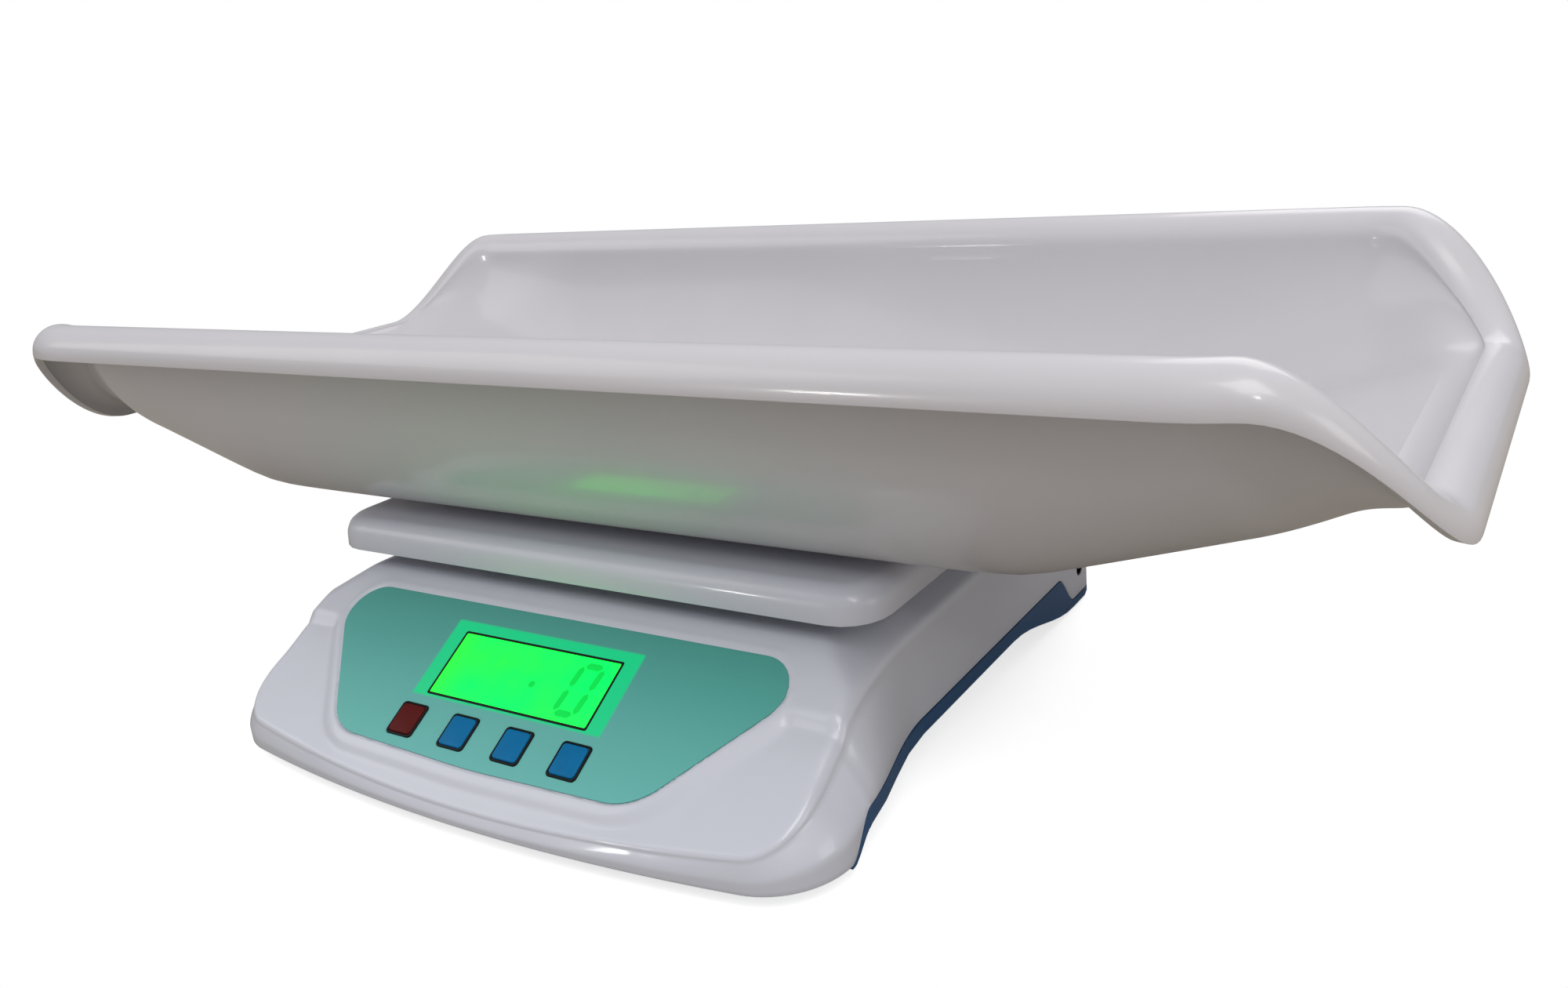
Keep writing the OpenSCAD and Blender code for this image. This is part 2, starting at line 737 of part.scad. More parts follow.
module key(i) on_panel() at_key(i) {
  plate(cap_w, cap_h, shell_under - flange_gap - flange_t / 2, key_proud);
  plate(hole_w + 2 * flange_over, hole_h + 2 * flange_over,
    shell_under - flange_gap - flange_t, shell_under - flange_gap);
  translate([0, 0, stem_end]) cylinder(h = shell_under - flange_gap - stem_end, d = stem_d);
}
module key_power() color("firebrick") key(0);
module key_zero() color("royalblue") key(1);
module key_unit() color("royalblue") key(2);
module key_count() color("royalblue") key(3);

module main_board() color("darkgreen") on_panel() difference() {
  translate([-board_w / 2, -board_down, board_top - board_t])
    cube([board_w, board_down + board_up, board_t]);
  for (x = [-1, 1], up = board_hole_up)
    translate([x * board_hole_x, up, board_top - board_t - 1])
      cylinder(h = board_t + 2, d = board_screw_d + 2 * bore_gap);
}
board_head_t = 1.4;
module board_screws() color("silver") on_panel() for (x = [-1, 1], up = board_hole_up)
  translate([x * board_hole_x, up, board_top - board_t]) {
    translate([0, 0, -board_head_t]) cylinder(h = board_head_t, d = board_screw_d + 2);
    translate([0, 0, -0.5]) cylinder(h = board_screw_l + 0.5, d = board_screw_d);
  }
module push_switches() color("dimgray") on_panel() for (i = [0:key_n - 1]) at_key(i) {
  plate(switch_body_w, switch_body_w, board_top, board_top + switch_body_t);
  translate([0, 0, board_top + switch_body_t - 0.5])
    cylinder(h = plunger_top - board_top - switch_body_t + 0.5, d = plunger_d);
}

// ---- weighing parts ------------------------------------------------------------------------

platform_wall = 2.5;
platform_top = platform_z + platform_h;
platform_draft = 0.8;
rib_t = 2;
module platform() color("gainsboro") moulded() {
  difference() {
    translate([0, pan_y, platform_z])
      crowned_plate(platform_w, platform_d, platform_h, platform_r, platform_edge_r, platform_draft);
    translate([0, pan_y, platform_z - 1])
      crowned_plate(platform_w - 2 * platform_wall, platform_d - 2 * platform_wall,
        platform_h - platform_wall + 1, platform_r - platform_wall,
        platform_edge_r - platform_wall, platform_draft);
  }
  pan_corners(post_dx, post_dy) translate([0, 0, post_end_z])
    cylinder(h = platform_top - 1 - post_end_z, d = post_d);
  for (k = [-1, 1]) {
    translate([-platform_w / 2 + 4, pan_y + k * post_dy / 2 - rib_t / 2, platform_z + 1])
      cube([platform_w - 8, rib_t, platform_h - 2.2]);
    translate([k * post_dx / 2 - rib_t / 2, pan_y - platform_d / 2 + 4, platform_z + 1])
      cube([rib_t, platform_d - 8, platform_h - 2.2]);
  }
}

carrier_margin = 12;
// Slots that lighten the carrier plate: distance from the middle, width, and end margin
slot_from = 25;
slot_w = 24;
slot_end = 24;
module carrier_plate() color("silver") difference() {
  union() {
    translate([0, pan_y, carrier_z])
      round_plate(post_dx + 2 * carrier_margin, post_dy + 2 * carrier_margin, carrier_t, 10);
    for (k = [-1, 1])
      translate([-post_dx / 2, pan_y + k * (post_dy / 2 + carrier_margin - 1) - 1, carrier_z])
        cube([post_dx, 2, carrier_t + 3]);
  }
  for (k = [-1, 1])
    translate([-post_dx / 2 + slot_end, pan_y + k * (slot_from + slot_w / 2) - slot_w / 2,
        carrier_z - 1])
      cube([post_dx - 2 * slot_end, slot_w, carrier_t + 2]);
  cell_holes_at(1) translate([0, 0, carrier_z - 1])
    cylinder(h = carrier_t + 2, d = cell_screw_d + bore_gap);
}
module carrier_pads() color("black") pan_corners(post_dx, post_dy)
  translate([0, 0, pad_z]) cylinder(h = pad_t, d = post_d + 3);
module spacer(end, z, h) difference() {
  translate([end * cell_end_x - cell_w / 2 + 1, pan_y - cell_w / 2, z]) cube([cell_w - 2, cell_w, h]);
  cell_holes_at(end) translate([0, 0, z - 1]) cylinder(h = h + 2, d = cell_screw_d + bore_gap);
}
module carrier_spacer() color("silver") spacer(1, cell_z + cell_h, spacer_t);
module cell_spacer() color("silver") spacer(-1, floor_top, spacer_t);
cell_grip = 12;
module cell_screw(l) {
  cylinder(h = cell_screw_head_t, d = cell_screw_head_d);
  translate([0, 0, cell_screw_head_t - 0.5]) cylinder(h = l + 0.5, d = cell_screw_d);
}
module cell_screws() color("silver") cell_holes_at(-1)
  translate([0, 0, floor_z - cell_screw_head_t]) cell_screw(wall + spacer_t + cell_grip);
module carrier_screws() color("silver") cell_holes_at(1)
  translate([0, 0, carrier_z + carrier_t + cell_screw_head_t]) rotate([180, 0, 0])
  cell_screw(carrier_t + spacer_t + cell_grip);
waist_d = 15;
waist_dx = 20;
module load_cell() color("lightsteelblue") difference() {
  translate([-cell_l / 2, pan_y - cell_w / 2, cell_z]) cube([cell_l, cell_w, cell_h]);
  for (k = [-1, 1]) translate([k * waist_dx / 2, pan_y + cell_w / 2 + 1, cell_z + cell_h / 2])
    rotate([90, 0, 0]) cylinder(h = cell_w + 2, d = waist_d);
  translate([-waist_dx / 2, pan_y - cell_w / 2 - 1, cell_z + cell_h / 2 - 2.5])
    cube([waist_dx, cell_w + 2, 5]);
  cell_holes_at(-1) translate([0, 0, cell_z - 1])
    cylinder(h = cell_h + 2, d = cell_screw_d + bore_gap);
  cell_holes_at(1) translate([0, 0, cell_z - 1])
    cylinder(h = cell_h + 2, d = cell_screw_d + bore_gap);
}
module overload_stops() color("silver") stops_at() {
  translate([0, 0, stop_top_z - stop_head_t]) cylinder(h = stop_head_t, d = stop_post_d - 1);
  translate([0, 0, stop_top_z - stop_head_t - stop_shank_l])
    cylinder(h = stop_shank_l + 0.5, d = stop_bore_d);
}
cable_d = 3;
cable_z = floor_top + 2;
// Way of the cable: out of the cell's front, along the floor, up to the board
cable_path = [[-30, pan_y - cell_w / 2 - 1.1, cell_z + 4], [-30, pan_y - cell_w / 2 - 8, cable_z],
  [-40, -30, cable_z], [-40, -70, cable_z], [-40, -78, 24], [-40, -87, 32]];
module rod(a, b, d) {
  v = b - a;
  translate(a) rotate([0, acos(v.z / norm(v)), atan2(v.y, v.x)]) cylinder(h = norm(v), d = d);
}
module cell_cable() color("dimgray") {
  for (i = [0:len(cable_path) - 2]) rod(cable_path[i], cable_path[i + 1], cable_d);
  for (i = [1:len(cable_path) - 2]) translate(cable_path[i]) sphere(d = cable_d + 0.3);
}

// ---- tray ------------------------------------------------------------------------------------

tray_z = platform_top + tray_pad_t;
rim_x = tray_l / 2 - end_rim_r;
rim_y = tray_w / 2 - rim_r;
rim_z = tray_z + tray_rim_h - rim_r;
end_rim_z = tray_z + tray_end_h - end_rim_r;
end_turn = 108;
arc_steps = 9;
wall_rows = 6;
roll_rows = 8;
blend_from = 0.19;
blend_span = 0.76;

// Quarter of the tray: straight stations, then the corner's arc. Each entry holds the
// corner share, the rim point and the floor point.
tray_stations = concat(
  [for (x = [0, floor_level_hl / 2, floor_level_hl])
    [0, [x, rim_y], [x, floor_hw]]],
  [for (k = [0:arc_steps])
    let(q = k / arc_steps,
        n = [sin(90 * q), cos(90 * q)])
    [q,
     [rim_x - crest_corner_r, rim_y - crest_corner_r] + crest_corner_r * n,
     [floor_hl - floor_r, floor_hw - floor_r] + floor_r * n]]);
station_n = len(tray_stations);

function floor_rise(x) = max(0, abs(x) - floor_level_hl) * tan(floor_slope);
// Point of the tray's upper face: row 0 on the floor, wall_rows at the top of the wall,
// then round the rim to the lip
function tray_point(st, row) =
  let(q = st[0],
      n = [sin(90 * q), cos(90 * q)],
      blend = smooth((q - blend_from) / blend_span),
      r = mix(rim_r, end_rim_r, blend),
      zc = mix(rim_z, end_rim_z, blend),
      start = mix(180, end_turn, blend),
      fz = tray_z + tray_t + floor_rise(st[2].x))
  row <= wall_rows
    ? let(t = 90 * row / wall_rows,
          s = pow(sin(t), 2 / bowl_power),
          g = pow(cos(t), 2 / bowl_power),
          top = st[1] + r * cos(start) * n,
          zs = zc + r * sin(start),
          p = st[2] + (top - st[2]) * s)
      [p.x, p.y, zs - (zs - fz) * g]
    : row <= wall_rows + roll_rows
      ? let(a = start * (1 - (row - wall_rows) / roll_rows), p = st[1] + r * cos(a) * n)
        [p.x, p.y, zc + r * sin(a)]
      : let(p = st[1] + r * n) [p.x, p.y, zc - lip_h];
tray_rows = wall_rows + roll_rows + 1;

function tray_ring(row) =
  let(quarter = [for (st = tray_stations) tray_point(st, row)],
      right = concat(quarter,
        [for (i = [station_n - 1:-1:0]) [quarter[i].x, -quarter[i].y, quarter[i].z]]))
  concat(right, [for (i = [len(right) - 2:-1:1]) [-right[i].x, right[i].y, right[i].z]]);
tray_top = [for (row = [0:tray_rows]) tray_ring(row)];
tray_n = len(tray_top[0]);

// The lower face lies one wall thickness behind the upper face
function tray_under(row) =
  [for (i = [0:tray_n - 1])
    let(p = tray_top[row][i],
        du = tray_top[row][(i + 1) % tray_n] - tray_top[row][(i + tray_n - 1) % tray_n],
        dv = tray_top[min(row + 1, tray_rows)][i] - tray_top[max(row - 1, 0)][i],
        c = cross(du, dv),
        n = c / norm(c))
    row == 0 ? p - [0, 0, tray_t]
    : row == tray_rows ? tray_under_lip(i)
    : p - tray_t * n];
function tray_under_lip(i) =
  let(p = tray_top[tray_rows][i],
      du = tray_top[tray_rows][(i + 1) % tray_n] - tray_top[tray_rows][(i + tray_n - 1) % tray_n],
      n = unit2([-du.y, du.x]))
  [p.x - tray_t * n.x, p.y - tray_t * n.y, p.z];

// Faces across the floor, from each point to its mirror point
function floor_strips(base, up) =
  let(m = station_n - 1,
      half = 2 * m + 1,
      left = function(i) i == 0 ? 0 : i == half ? half : tray_n - i)
  [for (k = [0:m - 1])
    for (f = [[k, k + 1, half - k - 1, half - k],
              [left(half - k), left(half - k - 1), left(k + 1), left(k)]])
      [for (v = up ? f : [f[3], f[2], f[1], f[0]]) base + v]];

module tray() color("whitesmoke") translate([0, pan_y, 0]) {
  rings = concat([for (row = [0:tray_rows]) tray_under(row)],
    [for (row = [tray_rows:-1:0]) tray_top[row]]);
  m = len(rings);
  points = [for (ring = rings) for (p = ring) p];
  walls = [for (k = [0:m - 2]) for (i = [0:tray_n - 1])
    let(j = (i + 1) % tray_n)
    for (f = [[k * tray_n + i, k * tray_n + j, (k + 1) * tray_n + j],
              [k * tray_n + i, (k + 1) * tray_n + j, (k + 1) * tray_n + i]]) f];
  polyhedron(points, concat(walls, floor_strips(0, false),
    floor_strips((m - 1) * tray_n, true)));
}
tray_pad_dx = 180;
tray_pad_dy = 64;
tray_pad_d = 16;
module tray_pads() color("dimgray") pan_corners(tray_pad_dx, tray_pad_dy)
  translate([0, 0, platform_top + seat_gap]) cylinder(h = tray_pad_t - seat_gap, d = tray_pad_d);

// ---- feet, batteries, socket, screws -----------------------------------------------------

module rubber_feet() color("black") for (p = foot_at) translate([p.x, p.y, 0]) {
  cylinder(h = 1.2, d1 = foot_d - 1.5, d2 = foot_d);
  translate([0, 0, 1.2]) cylinder(h = foot_h - 1.2, d = foot_d);
}
battery_z = floor_z + 0.6 + battery_d / 2;
module battery_cells() color("darkolivegreen") for (k = [0:battery_n - 1])
  translate([(k - (battery_n - 1) / 2) * battery_pitch, box_y, battery_z]) {
    s = k % 2 == 0 ? 1 : -1;
    rotate([90, 0, 0]) translate([0, 0, -battery_l / 2 + 0.5])
      cylinder(h = battery_l - 1, d = battery_d);
    translate([0, s * (battery_l / 2 - 1), 0]) rotate([-90 * s, 0, 0]) cylinder(h = 1.5, d = 5.5);
  }
module battery_contacts() color("silver") for (s = [-1, 1])
  for (k = [0:battery_n - 1]) translate([(k - (battery_n - 1) / 2) * battery_pitch, box_y, 0]) {
    translate([-5, s * (box_d / 2 - 0.3) - 0.3, floor_z + 2]) cube([10, 0.6, battery_d - 2]);
    translate([0, s * (box_d / 2 - 0.5), battery_z]) rotate([90 * s, 0, 0])
      cylinder(h = (box_d - battery_l) / 2 - 1.2, d = 4);
  }
module dc_jack() color("black") difference() {
  union() {
    translate([body_hw - wall - seat_gap - jack_body_l, jack_y - jack_body_w / 2, floor_top + seat_gap])
      cube([jack_body_l, jack_body_w, 2 * (jack_z - floor_top - seat_gap)]);
    translate([body_hw - wall - 1, jack_y, jack_z]) rotate([0, 90, 0])
      cylinder(h = wall + 0.7, d = jack_d);
  }
  translate([body_hw - wall - 8, jack_y, jack_z]) rotate([0, 90, 0]) difference() {
    cylinder(h = 20, d = jack_d - 1.2);
    translate([0, 0, -1]) cylinder(h = 9.5, d = 1.9);
  }
}
module housing_screws() color("silver") for (p = housing_screw_at)
  translate([p.x, p.y, floor_z - screw_head_t]) {
    cylinder(h = screw_head_t, d = screw_head_d);
    translate([0, 0, screw_head_t - 0.5]) cylinder(h = screw_l, d = screw_d);
  }

upper_housing();
lower_housing();
control_label();
key_frames();
lcd_window();
lcd_cell();
backlight();
display_frame();
main_board();
push_switches();
board_screws();
key_power();
key_zero();
key_unit();
key_count();
platform();
carrier_plate();
carrier_spacer();
carrier_screws();
carrier_pads();
load_cell();
cell_spacer();
cell_screws();
overload_stops();
cell_cable();
tray();
tray_pads();
rubber_feet();
battery_door();
battery_cells();
battery_contacts();
dc_jack();
housing_screws();
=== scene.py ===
"""Looks of a digital baby weighing scale, laid out as an add-on."""
import json
import math

import bmesh
import bpy
import numpy as np
from bpy.props import FloatProperty, FloatVectorProperty, PointerProperty
from mathutils import Matrix, Vector


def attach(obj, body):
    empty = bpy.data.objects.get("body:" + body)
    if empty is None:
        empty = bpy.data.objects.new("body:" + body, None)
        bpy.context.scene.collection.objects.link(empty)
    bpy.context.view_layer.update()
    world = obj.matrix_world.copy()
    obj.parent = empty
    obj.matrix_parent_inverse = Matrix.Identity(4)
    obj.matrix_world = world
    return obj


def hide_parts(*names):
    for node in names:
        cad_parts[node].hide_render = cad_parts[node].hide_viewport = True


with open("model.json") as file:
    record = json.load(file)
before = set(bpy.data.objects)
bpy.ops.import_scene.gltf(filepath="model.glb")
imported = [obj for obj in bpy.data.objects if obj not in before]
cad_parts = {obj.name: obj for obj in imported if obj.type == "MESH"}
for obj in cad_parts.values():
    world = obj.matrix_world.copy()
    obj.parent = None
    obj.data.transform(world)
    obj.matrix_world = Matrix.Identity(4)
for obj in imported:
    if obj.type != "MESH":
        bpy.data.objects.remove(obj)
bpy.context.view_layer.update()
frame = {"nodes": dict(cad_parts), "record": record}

bl_info = {
    "name": "Baby weighing scale",
    "version": (1, 0, 0),
    "blender": (4, 5, 0),
    "location": "View3D > Sidebar > Scale",
    "description": "Builds the finished pieces, finishes and studio of a baby weighing scale",
    "category": "Object",
}

MM = 0.001

# All sizes below are in millimetres, in the frame of the CAD. The sizes that a user may change
# are in ScaleSizes.

# Panel: a plane through this point that leans back. On it, x runs across and s up the slope.
TILT = math.radians(30.7)
PANEL_Y, PANEL_Z = -104.8, 38.2

# Outline of the housing in plan: half width, flared front corners, bowed front, round corners
BODY_HW, FLARE_W, FLARE_Y, FLARE_LEN = 118.0, 10.0, -47.0, 60.0
FRONT_Y, REAR_Y, BOW, FRONT_R, REAR_R = -146.0, 118.0, 11.8, 26.6, 14.5
SIDE_FROM, SIDE_TO = 35.0, FLARE_Y - FLARE_LEN + 6
TOUCH_PAST = 4.0  # the front corner's arc meets the bow about this far past its centre
REAR_STEPS, FRONT_STEPS, SIDE_STEPS, OUTLINE_STEP = 24, 30, 60, 1.5

# Section of the housing: wall, rounded shoulder, deck, and the spine where its rings close
SIDE_LEAN, FLARE_LEAN, FRONT_LEAN, LEAN_POWER = 2.0, 8.0, 1.5, 1.25
TURN_R, FRONT_TURN_R, SLOPE_REACH = 5.0, 2.8, 8
KNEE_SHARE, KNEE_GAP, KNEE_MIN = 0.42, 0.4, 0.2
LOWER_EDGE = ((0.0, 0.45), (0.15, 0.15), (0.5, 0.0))  # height and inset of its rounded rings
WALL_ROWS, LEAN_ROWS, TURN_ROWS, TOP_ROWS = 4, 8, 10, 96
SPINE_FRONT, SPINE_REAR = -96.0, 72.0
DECK_Z, SHOULDER_Z, SHOULDER_X, SHOULDER_W = 56.0, 47.4, 116.0, 14.0
SHOULDER_BLEND, PANEL_BLEND = 2.2, 2.4

# Lower edge of the white: at the front, over the blue band and at the rear
SKIRT_Z, BAND_Z, REAR_Z = 6.0, 18.0, 4.3
BAND_FROM, BAND_RISE, BAND_TO, BAND_FALL = -113.0, 13.0, 75.0, 16.0

# Round the label: a lower apron, a bead on the plateau's edge and the label's pocket
APRON_STEP, APRON_TOP, APRON_FADE, APRON_FROM, APRON_RUN = 2.0, 7.5, 1.2, 3.2, 3.2
BEAD_H, BEAD_AT, BEAD_W = 0.45, 1.7, 0.9
POCKET_DEPTH, POCKET_FROM, POCKET_RUN = 0.6, 0.1, 0.5

# Holes in the housing for the platform's posts and the power socket
PAN_Y, POST_DX, POST_DY = 15.0, 75, 55
POSTS = [(x, PAN_Y + y) for x in (-POST_DX, POST_DX) for y in (-POST_DY, POST_DY)]
POST_HOLE_R, POST_HOLE_LOW, POST_HOLE_HIGH = 9.5, 45, 60
SOCKET_R, SOCKET_Y, SOCKET_Z, SOCKET_CUT = 3.35, 98, 15.4, 12

# Platform: a hollow plate whose sides lean in, on four posts
PLATFORM_LOW, PLATFORM_HIGH, PLATFORM_WALL, PLATFORM_LEAN = 62.5, 74.0, 2.5, 0.8
PLATFORM_CORNER, PLATFORM_EDGE, PLATFORM_ARRIS = 15, 6.5, 0.4
POST_R, POST_LOW, POST_HIGH = 7, 44.5, 72.4

# Tray: its level floor, the slope at its ends, the bowl's section and the rolled rim
TRAY_Z, LEVEL_X, FLOOR_X, FLOOR_Y, FLOOR_R = 79.0, 162.0, 250.5, 77.0, 27.5
FLOOR_SLOPE, FLOOR_SOFT = math.tan(math.radians(16.8)), 60
CREST_R, BOWL_POWER, SIDE_TURN, END_TURN = 50.0, 1.64, 180, 108.0
BLEND_FROM, BLEND_SPAN = 0.19, 0.76  # share of the corner where the side rim becomes the end rim
LIP, LIP_LEAN, LIP_ARRIS = 1.2, 0.02, 0.7
LEVEL_STEPS, SLOPE_STEPS, CORNER_STEPS, FLOOR_CELLS = 22, 10, 32, 16
BOWL_ROWS, ROLL_ROWS, LIP_ROWS = 26, 22, 3

# Label on the panel
LABEL_TOP_HW, LABEL_UP, LABEL_TOP_R = 109.9, 25.1, 12.3
LABEL_LOW_HW, LABEL_DOWN, LABEL_LOW_R = 65.7, 33.3, 21.7
LABEL_TIP, LABEL_TIP_R = 35.3, 300.0
FILM_T, ARC_STEPS, CUT_REACH = 0.5, 12, 3

# Display window with its black border, and the nought and dot that it shows
LCD_W, LCD_H, BORDER, BORDER_GAP = 71.8, 26.4, 1.8, 0.05
WINDOW_LOW, WINDOW_TOP, BORDER_TOP = -0.45, -0.05, 0.06
FIGURE_X, FIGURE_HW, FIGURE_HH, FIGURE_LEAN, FIGURE_Z, FIGURE_T = 24.6, 4.2, 9.2, 0.1, -0.03, 0.02
BAR_ACROSS, BAR_UP, BAR_W = 7.4, 8.4, 2.6
DOT_X, DOT_S, DOT_R, DOT_SIDES = 5.0, -1.5, 1.4, 12

# Keys: caps on flanges and stems, in black frames, in a row below the window
KEY_NAMES, KEY_PITCH, KEY_DOWN = ("key_power", "key_zero", "key_unit", "key_count"), 24.2, 24.1
KEY_XS = [(i - 1.5) * KEY_PITCH for i in range(4)]
CAP_LOW, CAP_TOP, CAP_CORNER, CAP_EDGE = -3.8, 0.9, 1.3, 0.55
FLANGE_W, FLANGE_H, FLANGE_LOW, FLANGE_TOP = 12.6, 13.2, -4.3, -3.3
STEM_R, STEM_LOW, STEM_TOP = 2.5, -6.2, -3.4
FRAME_W, FRAME_H, FRAME_Z, FRAME_CORNER = 12.1, 12.7, 0.5, 1.6
FRAME_IN_W, FRAME_IN_H, FRAME_IN_CORNER = 10.8, 11.4, 1.5
FILM_HOLE_W, FILM_HOLE_H = 12.2, 12.8

# Camera, solved from the photo: yaw, pitch and roll in degrees, its place, and its focal length
# in pixels of the photo's width
CAMERA_TURN, CAMERA_AT = (34.0476, 17.7199, -5.8294), (294.925, -375.749, 217.364)
FOCAL_PX, PHOTO_PX, SENSOR_MM, CLIP_START = 1630.98, 2000, 36, 0.01

# Studio, in metres: lamp, place, size and watts
LAMPS = (
    ("key_softbox", (0.9, -0.7, 1.5), 0.9, 9.5),
    ("fill_softbox", (-1.3, -1.0, 1.1), 1.2, 5.0),
    ("back_softbox", (0.2, 1.5, 1.4), 1.2, 7.0),
    ("left_tube", (-0.68, -1.5, 0.195), 0.11, 1.5),
    ("right_tube", (0.95, -0.9, 0.85), 0.1, 1.0),
    ("side_softbox", (1.6, -0.1, 0.42), 0.6, 2.4))
LAMP_AIM, LAMP_COLOUR = (0, 0, 0.05), (1.0, 0.99, 0.97)
FLOOR_SIZE, SHADOW_REACH = 12, 0.05


# ---- small helpers --------------------------------------------------------------------

def linear(hex_colour):
    """sRGB hex to linear RGBA."""
    parts = [int(hex_colour[i:i + 2], 16) / 255 for i in (1, 3, 5)]
    return tuple(c / 12.92 if c <= 0.04045 else ((c + 0.055) / 1.055) ** 2.4 for c in parts) + (1.0,)


def smooth(t):
    """Smooth step from 0 to 1."""
    t = np.clip(t, 0.0, 1.0)
    return t * t * (3 - 2 * t)


def mix(a, b, t):
    return a + (b - a) * t


def soft_min(a, b, k):
    """Lesser of two heights, blended over the width k."""
    h = np.clip(0.5 + 0.5 * (b - a) / k, 0.0, 1.0)
    return b + (a - b) * h - k * h * (1 - h)


def deselect():
    if bpy.context.object and bpy.context.object.mode != "OBJECT":
        bpy.ops.object.mode_set(mode="OBJECT")
    bpy.ops.object.select_all(action="DESELECT")


def only(obj):
    deselect()
    obj.select_set(True)
    bpy.context.view_layer.objects.active = obj


def mesh_object(name, points, faces):
    """A mesh from points in millimetres."""
    mesh = bpy.data.meshes.new(name)
    mesh.from_pydata([tuple(float(v) * MM for v in p) for p in points], [], faces)
    mesh.validate()
    obj = bpy.data.objects.new(name, mesh)
    bpy.context.scene.collection.objects.link(obj)
    return obj


def settle(obj):
    """Puts the object's place into its mesh."""
    only(obj)
    bpy.ops.object.transform_apply(location=True, rotation=True, scale=True)


def modify(obj, kind, **settings):
    """Adds one modifier and applies it."""
    only(obj)
    mod = obj.modifiers.new(kind.title(), kind)
    for key, value in settings.items():
        setattr(mod, key, value)
    bpy.ops.object.modifier_apply(modifier=mod.name)


def outward(obj):
    """Merges doubles and points the faces outwards."""
    only(obj)
    bpy.ops.object.mode_set(mode="EDIT")
    bpy.ops.mesh.select_all(action="SELECT")
    bpy.ops.mesh.remove_doubles(threshold=0.00001)
    bpy.ops.mesh.normals_make_consistent(inside=False)
    bpy.ops.object.mode_set(mode="OBJECT")


def face_up(obj, face):
    """Turns the mesh over where this face of its upper side looks down."""
    if face.normal.z < 0:
        obj.data.flip_normals()


def smooth_shade(obj, angle):
    only(obj)
    bpy.ops.object.shade_smooth_by_angle(angle=math.radians(angle))


def join(parts, name):
    deselect()
    for part in parts:
        part.select_set(True)
    bpy.context.view_layer.objects.active = parts[0]
    if len(parts) > 1:
        bpy.ops.object.join()
    parts[0].name = name
    parts[0].data.name = name
    return parts[0]


def finish_piece(obj, body, slot, material, *nodes):
    """Rides on its body, takes its finish and stands for the solids it covers."""
    obj.data.materials.clear()
    obj.data.materials.append(material)
    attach(obj, body)
    if nodes:
        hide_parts(*nodes)


def onto_panel(obj):
    """Lays a piece made flat at the origin onto the sloping panel."""
    obj.matrix_world = (Matrix.Translation((0, PANEL_Y * MM, PANEL_Z * MM))
                        @ Matrix.Rotation(TILT, 4, "X"))
    settle(obj)


def bevelled_block(name, w, d, low, high, x=0.0, y=0.0, corner=1.0, edge=0.3, segments=3):
    """A block on the panel: corners rounded in plan, then its upper edge."""
    deselect()
    bpy.ops.mesh.primitive_cube_add(size=1, location=(x * MM, y * MM, (low + high) / 2 * MM),
                                    scale=(w * MM, d * MM, (high - low) * MM))
    obj = bpy.context.object
    obj.name = name
    settle(obj)
    bpy.ops.object.mode_set(mode="EDIT")
    bpy.ops.mesh.select_mode(type="EDGE")
    bpy.ops.mesh.select_all(action="DESELECT")
    bpy.ops.object.mode_set(mode="OBJECT")
    verts = obj.data.vertices
    for e in obj.data.edges:
        a, b = (verts[i].co for i in e.vertices)
        e.select = abs(a.z - b.z) > abs(high - low) * MM * 0.5
    bpy.ops.object.mode_set(mode="EDIT")
    bpy.ops.mesh.bevel(offset=corner * MM, segments=5, profile=0.5)
    bpy.ops.mesh.select_all(action="DESELECT")
    bpy.ops.object.mode_set(mode="OBJECT")
    for e in obj.data.edges:
        a, b = (verts[i].co for i in e.vertices)
        e.select = min(a.z, b.z) > high * MM - 1e-6
    bpy.ops.object.mode_set(mode="EDIT")
    bpy.ops.mesh.bevel(offset=edge * MM, segments=segments, profile=0.5)
    bpy.ops.object.mode_set(mode="OBJECT")
    return obj


def cylinder(name, radius, low, high, x, y, sides=48):
    deselect()
    bpy.ops.mesh.primitive_cylinder_add(vertices=sides, radius=radius * MM, depth=(high - low) * MM,
                                        location=(x * MM, y * MM, (low + high) / 2 * MM))
    obj = bpy.context.object
    obj.name = name
    settle(obj)
    return obj


def cut(obj, tools):
    """Takes each tool out of the piece and removes the tool."""
    for tool in tools:
        modify(obj, "BOOLEAN", operation="DIFFERENCE", object=tool, solver="EXACT")
        bpy.data.objects.remove(tool, do_unlink=True)


# ---- finishes -------------------------------------------------------------------------

def add(tree, kind, links=None, **settings):
    """Adds one node. Settings are its attributes, or its sockets by name or number."""
    node = tree.nodes.new(kind)
    for key, value in settings.items():
        setattr(node, key, value)
    for socket, value in (links or {}).items():
        if isinstance(value, bpy.types.NodeSocket):
            tree.links.new(value, node.inputs[socket])
        else:
            node.inputs[socket].default_value = value
    return node


def new_finish(name):
    material = bpy.data.materials.new(name)
    material.use_nodes = True
    material.node_tree.nodes.clear()
    return material, material.node_tree


def darker(colour, share):
    """The same colour with less light."""
    return tuple(c * share for c in colour[:3]) + (1.0,)


